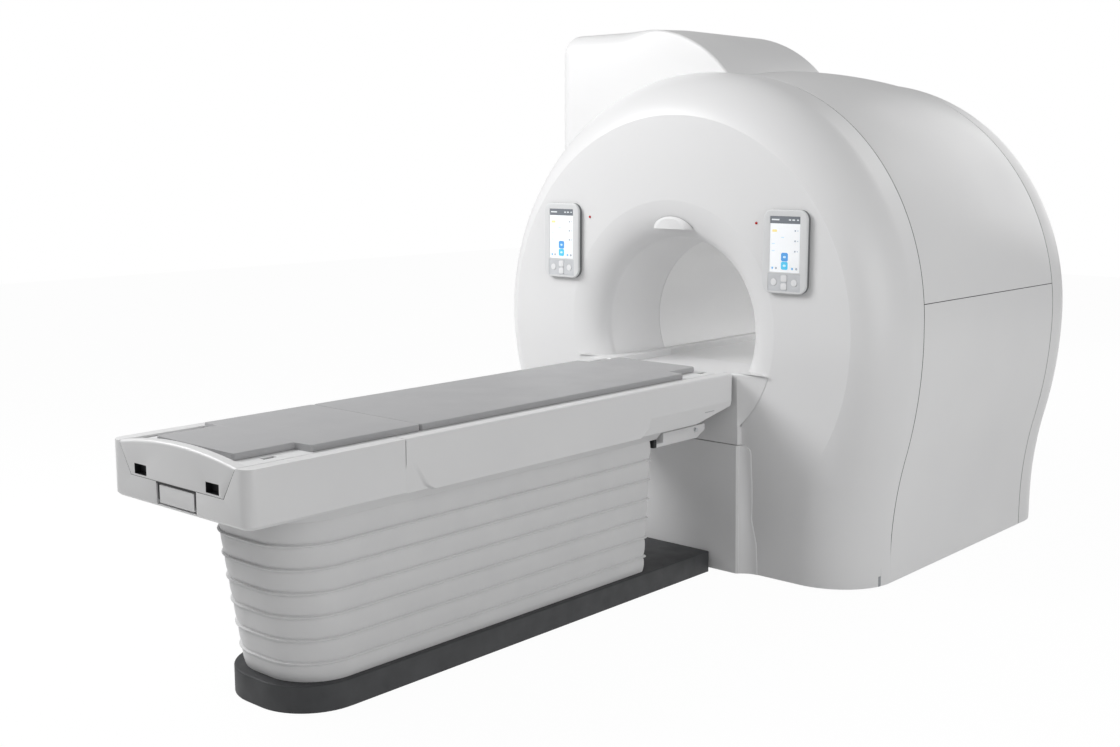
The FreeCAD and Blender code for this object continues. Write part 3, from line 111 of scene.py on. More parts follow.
def surface(name, colour, other, patch, fine, rough, bump, metallic=0.0, stretch=(1, 1, 1),
            depth=0.02, **sockets):
    """A finish with two close colours and its gloss in patches, and a fine grain in height.

    patch and fine are sizes in millimetres; rough is the lowest and highest roughness.
    """
    made = bpy.data.materials.new(name)
    made.use_nodes = True
    tree = made.node_tree
    bsdf = tree.nodes["Principled BSDF"]
    place = add(tree, "ShaderNodeTexCoord").outputs["Object"]
    spot = add(tree, "ShaderNodeMapping", {"Vector": place, "Scale": stretch}).outputs[0]
    broad = add(tree, "ShaderNodeTexNoise", {"Vector": spot, "Scale": 1000 / patch,
                                             "Detail": 3.0}).outputs["Fac"]
    grain = add(tree, "ShaderNodeTexNoise", {"Vector": spot, "Scale": 1000 / fine,
                                             "Detail": 2.0}).outputs["Fac"]
    mixed = add(tree, "ShaderNodeMix", {"Factor": broad, "A": shade(colour), "B": shade(other)},
                data_type="RGBA")
    tree.links.new(mixed.outputs["Result"], bsdf.inputs["Base Color"])
    gloss = add(tree, "ShaderNodeMapRange", {"Value": broad, "From Min": 0.3, "From Max": 0.7,
                                             "To Min": rough[0], "To Max": rough[1]})
    tree.links.new(gloss.outputs[0], bsdf.inputs["Roughness"])
    height = add(tree, "ShaderNodeBump", {"Height": grain, "Strength": bump,
                                          "Distance": depth * MM})
    tree.links.new(height.outputs[0], bsdf.inputs["Normal"])
    bsdf.inputs["Metallic"].default_value = metallic
    for key, value in sockets.items():
        bsdf.inputs[key.replace("_", " ")].default_value = value
    return made


# sprayed two-pack paint on glass-fibre covers: satin, with a faint orange peel
PAINT = surface("satin_paint_on_moulded_cover", "E4E4E4", "E0E0E1", 420, 3.2, (0.36, 0.42), 0.06,
                depth=0.05, Coat_Weight=0.06, Coat_Roughness=0.3)
# moulded structural foam of the table, painted the same white, a little finer
TABLE_PAINT = surface("satin_paint_on_foam_moulding", "DFDFDF", "DADADB", 300, 2.4, (0.36, 0.44),
                      0.06, depth=0.05)
# glass-fibre tube of the bore: gel coat, smooth and slightly warm
GEL_COAT = surface("gel_coat_on_glass_fibre_tube", "EAEAE9", "E6E6E7", 260, 5, (0.3, 0.38), 0.04)
# powder-coated steel frame: pebbled, light grey
POWDER = surface("powder_coated_steel", "9EA1A4", "96999D", 90, 1.4, (0.45, 0.55), 0.3,
                 depth=0.06)
# turned stainless steel of the magnet's vessel
STEEL = surface("rolled_stainless_steel", "C4C6C8", "B4B7BA", 60, 1.2, (0.28, 0.42), 0.12, 1.0,
                (1, 12, 1))
# cast resin of the coils: amber-grey and slightly mottled
RESIN = surface("cast_epoxy_resin", "8F7A55", "7C6A4C", 40, 2.2, (0.4, 0.55), 0.2)
# nickel-plated cold head
NICKEL = surface("nickel_plated_steel", "B9B4AA", "A7A39B", 25, 0.9, (0.2, 0.34), 0.1, 1.0)
# fine-textured ABS of the operator panels
ABS = surface("fine_textured_abs", "CFD1D3", "CACCCE", 60, 1.1, (0.42, 0.5), 0.18, depth=0.04)
# ABS of the panel housings; behind a depth it is painted dark grey as shade on the housings' sides
# and back
ABS_WITH_PAINTED_SHADE = surface("moulded_abs_with_painted_shade", "DCDDDE", "D7D8D9", 60, 1.1, (0.4, 0.48), 0.16,
                   depth=0.04)
PANEL_DEEP = surface("grey_moulded_abs_keypad", "CDCFD2", "C8CACD", 40, 1.0, (0.4, 0.48), 0.18,
                     depth=0.04)
# silicone keycaps with a soft lacquer
SILICONE = surface("lacquered_silicone_key", "EDEDEE", "E4E5E7", 12, 0.8, (0.34, 0.42), 0.12)
# red polycarbonate lens of the indicator lamps
LENS = surface("red_polycarbonate_lens", "C01A18", "A81412", 6, 0.8, (0.12, 0.2), 0.03)
# textured polyurethane paint on the base plate: near black, pebbled
BLACK_PAINT = surface("textured_polyurethane_paint", "3B3C3E", "343537", 70, 2.0, (0.55, 0.66),
                      0.4, depth=0.08)
# anodised aluminium lift columns, drawn lengthwise
ANODISED = surface("anodised_aluminium_profile", "B4B6B8", "A6A9AC", 30, 0.8, (0.3, 0.42), 0.15,
                   1.0, (1, 1, 0.05))
# glass-filled nylon of sockets, latch and guides
NYLON = surface("glass_filled_nylon", "17181A", "202124", 14, 0.7, (0.5, 0.62), 0.35, depth=0.04)
# composite board under the mats: glass-fibre skin, matt white
COMPOSITE = surface("glass_fibre_sandwich_board", "E0E0E0", "D8D9DA", 120, 1.6, (0.42, 0.5),
                    0.15, depth=0.03)
GUIDE = surface("acetal_guide_block", "D9D8D2", "D0CFC9", 30, 0.9, (0.38, 0.46), 0.12)
PIN = surface("ground_steel_pin", "BFC1C3", "ADB0B3", 9, 0.6, (0.2, 0.3), 0.08, 1.0)


def vinyl():
    """Coated vinyl on the mats: grey, with a fine leather grain 2 mm apart, and a soft sheen."""
    made = surface("embossed_vinyl_mat_cover", "A6A6A7", "9F9FA1", 160, 2.0, (0.46, 0.56), 0.0,
                   Sheen_Weight=0.12, Sheen_Roughness=0.5)
    tree = made.node_tree
    place = tree.nodes["Mapping"].outputs[0]
    cells = add(tree, "ShaderNodeTexVoronoi", {"Vector": place, "Scale": 1000 / 2.6},
                feature="DISTANCE_TO_EDGE")
    wrinkle = add(tree, "ShaderNodeTexNoise", {"Vector": place, "Scale": 1000 / 55.0})
    height = add(tree, "ShaderNodeBump", {"Height": cells.outputs["Distance"],
                                          "Strength": 0.22, "Distance": 0.3 * MM})
    soft = add(tree, "ShaderNodeBump", {"Height": wrinkle.outputs["Fac"], "Strength": 0.12,
                                        "Distance": 1.5 * MM, "Normal": height.outputs[0]})
    tree.links.new(soft.outputs[0], tree.nodes["Principled BSDF"].inputs["Normal"])
    return made


def coated_cloth():
    """Coated cloth of the bellows: light grey, with a plain weave drawn 1.6 mm apart."""
    made = surface("polyurethane_coated_cloth", "DADADA", "D3D3D4", 110, 1.6, (0.5, 0.6), 0.0,
                   Sheen_Weight=0.1, Sheen_Roughness=0.4)
    tree = made.node_tree
    place = tree.nodes["Mapping"].outputs[0]
    waves = [add(tree, "ShaderNodeTexWave", {"Vector": place, "Scale": 1000 / 1.6 / 6.283},
                 bands_direction=way) for way in ("DIAGONAL", "Z")]
    both = add(tree, "ShaderNodeMath", {0: waves[0].outputs["Fac"], 1: waves[1].outputs["Fac"]},
               operation="MULTIPLY")
    height = add(tree, "ShaderNodeBump", {"Height": both.outputs[0], "Strength": 0.25,
                                          "Distance": 0.15 * MM})
    tree.links.new(height.outputs[0], tree.nodes["Principled BSDF"].inputs["Normal"])
    return made


def paint_shade_behind(finish, depth, colour):
    """Gives a finish a second, darker colour behind a depth: painted shade on the rear of the panel
    housings.
    """
    tree = finish.node_tree
    bsdf = tree.nodes["Principled BSDF"]
    place = tree.nodes["Texture Coordinate"].outputs["Object"]
    y = add(tree, "ShaderNodeSeparateXYZ", {0: place}).outputs["Y"]
    rear = add(tree, "ShaderNodeMapRange", {"Value": y, "From Min": depth - 0.0004,
                                            "From Max": depth + 0.0004}).outputs[0]
    front = bsdf.inputs["Base Color"].links[0].from_socket
    mixed = add(tree, "ShaderNodeMix", {"Factor": rear, "B": shade(colour)}, data_type="RGBA")
    tree.links.new(front, mixed.inputs["A"])
    tree.links.new(mixed.outputs["Result"], bsdf.inputs["Base Color"])


# painted shade: the panel housings turn dark grey behind 904.5 mm
paint_shade_behind(ABS_WITH_PAINTED_SHADE, -SHADE_Y * MM, "6E7072")
VINYL = vinyl()
CLOTH = coated_cloth()


def display():
    """Display behind hardened glass: a pale picture with a header bar and plain rounded marks.

    Each mark is a rounded rectangle about a point: the distance from the rectangle drawn in
    by its corner radius is compared with that radius. Both panels share one picture, so the
    place across is taken from the nearer panel's middle.
    """
    made = surface("display_behind_hardened_glass", "F2F4F6", "ECEFF2", 180, 8, (0.14, 0.2), 0.0,
                   Coat_Weight=0.25, Coat_Roughness=0.08, Emission_Strength=0.22)
    tree = made.node_tree
    bsdf = tree.nodes["Principled BSDF"]
    place = tree.nodes["Texture Coordinate"].outputs["Object"]
    parts = add(tree, "ShaderNodeSeparateXYZ", {0: place})
    side = add(tree, "ShaderNodeMath", {0: parts.outputs["X"]}, operation="SIGN")
    across = add(tree, "ShaderNodeMath", {0: side.outputs[0], 1: -PANEL_X * MM,
                                          2: parts.outputs["X"]}, operation="MULTIPLY_ADD")
    spot = add(tree, "ShaderNodeCombineXYZ", {0: across.outputs[0],
                                              2: parts.outputs["Z"]}).outputs[0]

    def mark(under, x, z, wide, high, corner, colour):
        """Lays one rounded rectangle of a colour over the picture so far."""
        shift = add(tree, "ShaderNodeVectorMath", {0: spot, 1: (x * MM, 0, z * MM)},
                    operation="SUBTRACT")
        away = add(tree, "ShaderNodeVectorMath", {0: shift.outputs[0]}, operation="ABSOLUTE")
        core = ((wide / 2 - corner) * MM, 0, (high / 2 - corner) * MM)
        past = add(tree, "ShaderNodeVectorMath", {0: away.outputs[0], 1: core},
                   operation="SUBTRACT")
        out = add(tree, "ShaderNodeVectorMath", {0: past.outputs[0], 1: (0, 0, 0)},
                  operation="MAXIMUM")
        far = add(tree, "ShaderNodeVectorMath", {0: out.outputs[0]}, operation="LENGTH")
        inside = add(tree, "ShaderNodeMath", {0: far.outputs["Value"], 1: corner * MM},
                     operation="LESS_THAN")
        over = add(tree, "ShaderNodeMix", {"Factor": inside.outputs[0], "B": shade(colour)},
                   data_type="RGBA")
        tree.links.new(under, over.inputs["A"])
        return over.outputs["Result"]

    picture = bsdf.inputs["Base Color"].links[0].from_socket
    picture = mark(picture, 0, 1405, 134, 28, 0.5, "70757B")
    for x, wide in ((-42, 34), (20, 10), (36, 12), (54, 8)):
        picture = mark(picture, x, 1405, wide, 5, 2, "D9DDE0")
    picture = mark(picture, -45, 1364, 22, 9, 4, "F1DF9A")
    for z in (1366, 1328, 1290):
        picture = mark(picture, 44, z, 7, 7, 3, "A9AFB6")
        picture = mark(picture, 55, z, 7, 4, 2, "C3C8CE")
    for x, z in ((-50, 1316), (-50, 1290), (-10, 1340)):
        picture = mark(picture, x, z, 14, 4, 2, "CFE0EE")
    picture = mark(picture, 0, 1268, 30, 32, 7, "4F9BDD")
    picture = mark(picture, 0, 1236, 30, 30, 7, "52C3EC")
    picture = mark(picture, 0, 1268, 12, 8, 3, "BFE0F7")
    picture = mark(picture, 0, 1236, 12, 8, 3, "C9EFFB")
    for x, colour in ((-52, "7FB7E3"), (-36, "A8B0B8"), (34, "7FB7E3"), (52, "A8B0B8")):
        picture = mark(picture, x, 1226, 9, 9, 4, colour)
    tree.links.new(picture, bsdf.inputs["Base Color"])
    tree.links.new(picture, bsdf.inputs["Emission Color"])
    return made


GLASS = display()
# dark, dull strip sunk 0.8 mm behind the cover seams: painted shade in their gaps
SEAM_SHADE = surface("painted_seam_shade", "1B1C1D", "171819", 20, 1.2, (0.6, 0.7), 0.2)


# ---------------------------------------------------------------- mesh tools

def facing(points, core, hollow):
    """True when a grid, taken as a whole, faces away from the core, or to it when hollow."""
    a, b = points[1:, 1:] - points[:-1, :-1], points[:-1, 1:] - points[1:, :-1]
    normal = np.cross(a, b)
    middle = (points[1:, 1:] + points[:-1, :-1]) / 2
    outward = np.sum(normal * (middle - np.array(core, float))) > 0
    return outward != hollow


def piece(name, sheets, body, finish, sharp=30.0, hides=()):
    """One piece from grids of points: each grid cell is a face of four corners.

    A sheet is (points of rows x columns x 3, core point, hollow); doubles are merged.
    """
    spots, faces, start = [], [], 0
    for points, core, hollow in sheets:
        rows, columns = points.shape[:2]
        index = np.arange(rows * columns).reshape(rows, columns) + start
        quad = np.stack([index[:-1, :-1], index[1:, :-1], index[1:, 1:], index[:-1, 1:]], -1)
        quad = quad.reshape(-1, 4)
        # the corners run round the normal that facing() takes, and back when it points wrong
        faces.append(quad if facing(points, core, hollow) else quad[:, ::-1])
        spots.append(points.reshape(-1, 3) * MM)
        start += rows * columns
    mesh = bpy.data.meshes.new(name)
    mesh.from_pydata(np.concatenate(spots).tolist(), [], np.concatenate(faces).tolist())
    form = bmesh.new()
    form.from_mesh(mesh)
    bmesh.ops.remove_doubles(form, verts=form.verts, dist=0.00002)
    bmesh.ops.dissolve_degenerate(form, edges=form.edges, dist=0.000005)
    form.to_mesh(mesh)
    form.free()
    mesh.shade_smooth()
    mesh.set_sharp_from_angle(angle=math.radians(sharp))
    mesh.materials.append(finish)
    made = bpy.data.objects.new(name, mesh)
    SCENE.collection.objects.link(made)
    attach(made, body)
    if hides:
        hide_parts(*hides)
    return made


def grid(x, y, z):
    """Joins three arrays of one shape, or that spread to one shape, into a grid of points."""
    return np.stack(np.broadcast_arrays(x, y, z), -1).astype(float)


def smooth(t):
    """A curve from 0 to 1 that starts and ends level: t squared times (3 - 2 t)."""
    t = np.clip(t, 0, 1)
    return t * t * (3 - 2 * t)


# ---------------------------------------------------------------- outline of the covers

def right_side():
    """Right half of the outline: straight foot, waist arc, side arc, a quarter ellipse."""
    reach = ((HALF - WAIST) ** 2 + (WIDEST - WAIST_Z) ** 2) / (2 * (HALF - WAIST))
    lower = reach - FLANK
    turn = WIDEST - (WIDEST - WAIST_Z) * FLANK / reach
    z = np.linspace(LIFT, WIDEST, 2400)[:-1]
    waist = WAIST + lower - np.sqrt(lower ** 2 - np.clip(z - WAIST_Z, 0, lower) ** 2)
    side = HALF - FLANK + np.sqrt(FLANK ** 2 - (z - WIDEST) ** 2)
    t = np.linspace(0, math.pi / 2, 3000)
    x = np.concatenate([np.where(z < turn, waist, side), HALF * np.cos(t)])
    return x, np.concatenate([z, WIDEST + RISE * np.sin(t)])


EDGE_X, EDGE_Z = right_side()
EDGE_S = np.concatenate([[0], np.cumsum(np.hypot(np.diff(EDGE_X), np.diff(EDGE_Z)))])


def stretch(low, high, count):
    """Evenly spaced points of the right side between two heights, with outward normals."""
    ends = [EDGE_S[-1] if h is None else np.interp(h, EDGE_Z, EDGE_S) for h in (low, high)]
    s = np.linspace(ends[0], ends[1], count)
    x, z = np.interp(s, EDGE_S, EDGE_X), np.interp(s, EDGE_S, EDGE_Z)
    step = 4.0
    ahead, behind = np.clip(s + step, 0, EDGE_S[-1]), np.clip(s - step, 0, EDGE_S[-1])
    dx = np.interp(ahead, EDGE_S, EDGE_X) - np.interp(behind, EDGE_S, EDGE_X)
    dz = np.interp(ahead, EDGE_S, EDGE_Z) - np.interp(behind, EDGE_S, EDGE_Z)
    size = np.hypot(dx, dz)
    nx, nz = dz / size, -dx / size
    if high is None:
        nx[-1], nz[-1] = 0.0, 1.0
    return x, z, nx, nz


def over(low, count):
    """Points from a height on the right, over the top, to the same height on the left."""
    x, z, nx, nz = stretch(low, None, count)
    return (np.concatenate([x, -x[-2::-1]]), np.concatenate([z, z[-2::-1]]),
            np.concatenate([nx, -nx[-2::-1]]), np.concatenate([nz, nz[-2::-1]]))


def front_seam(z):
    """Depth of the front seam: upright, and leaning back 5 degrees above one metre."""
    return -SEAM + np.maximum(0, z - 1000) * math.tan(math.radians(5))


def front_depth(z):
    """Foremost depth at a height: level above, and drawing back smoothly to the foot."""
    back = CHIN * np.clip(1 - smooth(z / CHIN_Z), 0, 1) ** 0.85
    return -FRONT + np.where(z < CHIN_Z, back, 0)


def face_at(z):
    """Depth of the round face: set in behind the rolled edge's crest, easing out to the foot."""
    return front_depth(z) + DISH * smooth((z - 440) / 400)


def crease_inset(x, z, nx, nz):
    """Distance from the outline, along its normal, to the crescent's circle, ROLL at most.

    The two are blended by the eighth root of the sum of their eighth powers, upside down.
    """
    up = z - CREASE_Z
    along = nx * x + nz * up
    reach = along - np.sqrt(np.clip(along ** 2 - (x ** 2 + up ** 2 - CREASE ** 2), 0, None))
    return (reach ** -8 + ROLL ** -8) ** -0.125


def lip():
    """A rounded return at a seam: (inward, back) pairs from 14 mm inside to the outer skin."""
    radius = 2.5
    t = np.linspace(math.pi / 2, 0, 8)
    inward = np.concatenate([[14.0], radius * (1 - np.cos(t))])
    return inward, np.concatenate([[0], radius * (1 - np.sin(t))])


def drawn_in(x, z, nx, nz, d, y):
    """Skin along an outline: its points go in along their normals by d, at the depths y."""
    return grid(x[:, None] - nx[:, None] * d, y, z[:, None] - nz[:, None] * d)


def flare_radius(sweep):
    """Radius of the flare: from the throat's it grows with one less the cosine of the sweep."""
    return THROAT + (RIM - THROAT) * (1 - np.cos(sweep)) / (1 - math.cos(SWEEP))


# ---------------------------------------------------------------- magnet covers

def front_cover():
    """Front cover: lip at the seam, straight side, rolled edge, crescent, face, flare, throat.

    The roll at each outline point is a quarter turn that stops at the crease; the face is
    ruled from the crease to the flare's circle; the flare is part of a ring's inner side.
    """
    x, z, nx, nz = over(LIFT, 210)
    seam = front_seam(z) - GAP / 2
    inset = crease_inset(x, z, nx, nz)
    low = z - nz * inset
    last = np.arcsin(1 - (face_at(low) - front_depth(low)) / ROLL)
    wide = inset / (1 - np.cos(last))
    inward, back = lip()
    side_d = np.repeat(inward[None], len(x), 0)
    side_y = seam[:, None] - back[None]
    turn = last[:, None] * np.linspace(0, 1, 48)[None]
    roll_d = wide[:, None] * (1 - np.cos(turn))
    roll_y = front_depth(z[:, None] - nz[:, None] * roll_d) + ROLL * (1 - np.sin(turn))
    d, y = np.concatenate([side_d, roll_d], 1), np.concatenate([side_y, roll_y], 1)
    rolled = drawn_in(x, z, nx, nz, d, y)
    foot_x = np.linspace(rolled[-1, -1, 0], rolled[0, -1, 0], 80)
    loop_x = np.concatenate([rolled[:, -1, 0], foot_x[1:]])
    loop_z = np.concatenate([rolled[:, -1, 2], np.full(79, LIFT)])
    angle = np.unwrap(np.arctan2(loop_z - RIM_Z, loop_x))
    t = np.linspace(0, 1, 30)[None]
    face_x = loop_x[:, None] * (1 - t) + RIM * np.cos(angle)[:, None] * t
    face_z = loop_z[:, None] * (1 - t) + (RIM_Z + RIM * np.sin(angle))[:, None] * t
    face = grid(face_x, face_at(face_z), face_z)
    rim_y = face_at(RIM_Z + RIM * np.sin(angle))
    sweep = np.linspace(SWEEP, 0, 34)[None]
    deep = (-rim_y[:, None] - THROAT_Y) / math.sin(SWEEP)
    radius = flare_radius(sweep)
    middle = BORE_Z + (RIM_Z - BORE_Z) * sweep / SWEEP
    flare = grid(radius * np.cos(angle)[:, None], -THROAT_Y - deep * np.sin(sweep),
                 middle + radius * np.sin(angle)[:, None])
    down = np.linspace(0, 1, 6)[None]
    neck = THROAT + (BORE - THROAT) * down
    throat_y = -THROAT_Y + (THROAT_Y - LINER - 2) * down
    neck = np.concatenate([neck, [[BORE + WALL]]], 1)
    throat_y = np.concatenate([throat_y, throat_y[:, -1:]], 1)
    throat = grid(neck * np.cos(angle)[:, None], throat_y,
                  BORE_Z + neck * np.sin(angle)[:, None])
    piece("front_cover_skin",
          [(rolled, (0, -500, 955), False), (face, (0, 0, 955), False),
           (flare, (0, -1500, 952), True), (throat, (0, -650, 952), True)],
          "scanner", PAINT, 5, ["front_cover"])


def band(x, z, nx, nz, front, rear, crown=0.0):
    """A cover between two seams, with a lip at both; it may rise by a parabola between them."""
    inward, back = lip()
    t = np.linspace(0, 1, 32)[1:-1][None]
    start, end = front[:, None] + back[None], rear[:, None] - back[None, ::-1]
    middle = start[:, -1:] * (1 - t) + end[:, :1] * t
    d = np.concatenate([inward, np.zeros(30), inward[::-1]])[None]
    y = np.concatenate([start, middle, end], 1)
    share = (y - front[:, None]) / (rear - front)[:, None]
    d = d - 4 * share * (1 - share) * np.reshape(crown, (-1, 1))
    return drawn_in(x, z, nx, nz, d, y)


def tucked(skin):
    """Adds the last 14 mm that turn inwards at a cover's lower edges."""
    rows = [skin[0] * 1.0, skin[-1] * 1.0]
    for row in rows:
        row[:, 0] -= np.sign(row[:, 0]) * 14
    return np.concatenate([rows[0][None], skin, rows[1][None]])


def middle_covers():
    """Top and side covers between the front and rear seams.

    The top cover is crowned between its seams. The crown fades to none down at the side
    covers, which run straight back as their solids do.
    """
    rear = SEAM - GAP / 2
    x, z, nx, nz = over(SPLIT + GAP / 2, 150)
    top = band(x, z, nx, nz, front_seam(z) + GAP / 2, np.full(len(x), rear),
               CROWN * smooth((z - SPLIT) / 300))
    piece("top_cover_skin", [(tucked(top), (0, 0, 955), False)], "scanner", PAINT, 30,
          ["top_cover"])
    for name, sign in (("right", 1), ("left", -1)):
        x, z, nx, nz = stretch(LIFT, SPLIT - GAP / 2, 120)
        side = band(sign * x, z, sign * nx, nz, front_seam(z) + GAP / 2,
                    np.full(len(x), rear))
        piece(f"side_cover_{name}_skin", [(tucked(side), (0, 0, 700), False)], "scanner",
              PAINT, 30, [f"side_cover_{name}"])


def rear_cover():
    """Rear cover: lip, side, a quarter roll, a flat face and a small flare into the bore."""
    x, z, nx, nz = over(LIFT, 160)
    inward, back = lip()
    turn = np.radians(np.linspace(0, 90, 30))
    d = np.concatenate([inward, REAR_ROLL * (1 - np.cos(turn))])[None]
    y = np.concatenate([SEAM + GAP / 2 + back, REAR - REAR_ROLL * (1 - np.sin(turn))])[None]
    rolled = drawn_in(x, z, nx, nz, d, y)
    foot_x = np.linspace(rolled[-1, -1, 0], rolled[0, -1, 0], 60)
    loop_x = np.concatenate([rolled[:, -1, 0], foot_x[1:]])
    loop_z = np.concatenate([rolled[:, -1, 2], np.full(59, LIFT)])
    angle = np.unwrap(np.arctan2(loop_z - BORE_Z, loop_x))[:, None]
    t = np.linspace(0, 1, 12)[None]
    mouth_turn = 90
    rim = BORE + mouth_turn
    face = grid(loop_x[:, None] * (1 - t) + rim * np.cos(angle) * t, REAR,
                loop_z[:, None] * (1 - t) + (BORE_Z + rim * np.sin(angle)) * t)
    sweep = np.radians(np.linspace(0, 90, 20))[None]
    radius = np.concatenate([rim - mouth_turn * np.sin(sweep), [[BORE, BORE + WALL]]], 1)
    depth = np.concatenate([REAR - mouth_turn * (1 - np.cos(sweep)),
                            [[LINER + 2, LINER + 2]]], 1)
    mouth = grid(radius * np.cos(angle), depth, BORE_Z + radius * np.sin(angle))
    piece("rear_cover_skin",
          [(rolled, (0, 500, 955), False), (face, (0, 0, 955), False),
           (mouth, (0, 1500, 952), True)],
          "scanner", PAINT, 20, ["rear_cover"])


def seam_shade_strips():
    """Strips of painted shade in the seams between the covers, 0.8 mm under their skins and 9 mm
    wide.
    """
    x, z, nx, nz = over(LIFT + 1, 240)
    sheets, deep = [], 0.8
    for seam, core in ((front_seam(z), -400), (np.full(len(x), SEAM), 400)):
        y = seam[:, None] + np.array([[-4.5, 0.0, 4.5]])
        sheets.append((drawn_in(x, z, nx, nz, deep, y), (0, core, WIDEST), False))
    x, z, nx, nz = stretch(SPLIT - 4.5, SPLIT + 4.5, 3)
    y = np.linspace(front_seam(SPLIT), SEAM, 40)[None]
    for sign in (1, -1):
        sheets.append((drawn_in(sign * x, z, sign * nx, nz, deep, y), (0, 0, SPLIT), False))
    piece("seam_shade_strips", sheets, "scanner", SEAM_SHADE)


def bore_tube():
    """Liner of the bore: circles along the axis, outer, inner and outer again, one tube."""
    angle = np.linspace(0, 2 * math.pi, 181)[:, None]
    radius = BORE + WALL * np.array([[1, 1, 0, 0, 0, 0, 1]])
    depth = np.array([[0, -LINER, -LINER, -200, 200, LINER, LINER]], float)
    tube = grid(radius * np.cos(angle), depth, BORE_Z + radius * np.sin(angle))
    piece("bore_liner_skin", [(tube, (0, 0, 952), True)], "scanner", GEL_COAT, 30,
          ["bore_liner"])


# ---------------------------------------------------------------- turret

def turret_outline(count):
    """Turret's front view: straight left side, small corner, level top, long round shoulder."""
    left, top, corner, flat, bend = -810.0, 2163.0, 90.0, -316.0, 560.0
    t = np.radians(np.linspace(180, 90, 30))
    x = [np.full(20, left), left + corner + corner * np.cos(t)]
    z = [np.linspace(TURRET_FOOT, top - corner, 20), top - corner + corner * np.sin(t)]
    x.append(np.linspace(left + corner, flat, 24)[1:])
    z.append(np.full(23, top))
    t = np.radians(np.linspace(90, 28, 60))[1:]
    x.append(flat + bend * np.cos(t))
    z.append(top - bend + bend * np.sin(t))
    x.append(np.full(20, x[-1][-1]))
    z.append(np.linspace(z[-1][-1], TURRET_FOOT, 21)[1:])
    x, z = np.concatenate(x), np.concatenate(z)
    s = np.concatenate([[0], np.cumsum(np.hypot(np.diff(x), np.diff(z)))])
    even = np.linspace(0, s[-1], count)
    x, z = np.interp(even, s, x), np.interp(even, s, z)
    dx, dz = np.gradient(x), np.gradient(z)
    size = np.hypot(dx, dz)
    return x, z, -dz / size, dx / size


def turret():
    """Turret: its outline moved back in depth, tapering to the front, with soft rims.

    The front 200 mm draw in by up to 9 mm, which leaves a faint ridge. The front rim is
    rounded by 80 mm on the left and along the top, easing to 12 mm down the shoulder, and
    the rear rim by 45 mm.
    """
    x, z, nx, nz = turret_outline(170)
    front, ridge, rear, draft, rim = -656.0, -450.0, 100.0, 9.0, 45.0
    ones = np.ones((len(x), 1))
    round_off = (12 + 68 * smooth((-230 - x) / 260))[:, None]
    t = np.radians(np.linspace(90, 0, 24))[None]
    share = np.linspace(0, 1, 8)[None, 1:]
    d = [draft + round_off * (1 - np.cos(t)), draft * (1 - share) * ones, 0 * share * ones]
    y = [front + round_off * (1 - np.sin(t)),
         (front + round_off) * (1 - share) + ridge * share,
         (ridge + (rear - rim - ridge) * share) * ones]
    t = np.radians(np.linspace(0, 90, 14))[None, 1:]
    d.append(rim * (1 - np.cos(t)) * ones)
    y.append((rear - rim + rim * np.sin(t)) * ones)
    d, y = np.concatenate(d, 1), np.concatenate(y, 1)
    skin = drawn_in(x, z, nx, nz, d, y)
    t = np.linspace(0, 1, 10)[:, None, None]
    foot = skin[:, 0] * [1, 1, 0] + [0, 0, TURRET_FOOT]
    front_face = skin[:, 0][None] * (1 - t) + foot[None] * t
    foot = skin[:, -1] * [1, 1, 0] + [0, 0, TURRET_FOOT]
    rear_face = skin[:, -1][None] * (1 - t) + foot[None] * t
    core = (-300, -280, 1500)
    piece("turret_cover_skin", [(skin, core, False), (front_face, core, False),
                                (rear_face, core, False)],
          "scanner", PAINT, 5.5, ["turret_cover"])


# ---------------------------------------------------------------- dock

def dock_front(z):
    """Depth of the dock's front: it leans forward from the floor to the shelf."""
    return np.interp(z, [LIFT, 588, TOP], [-880, -896, -909])


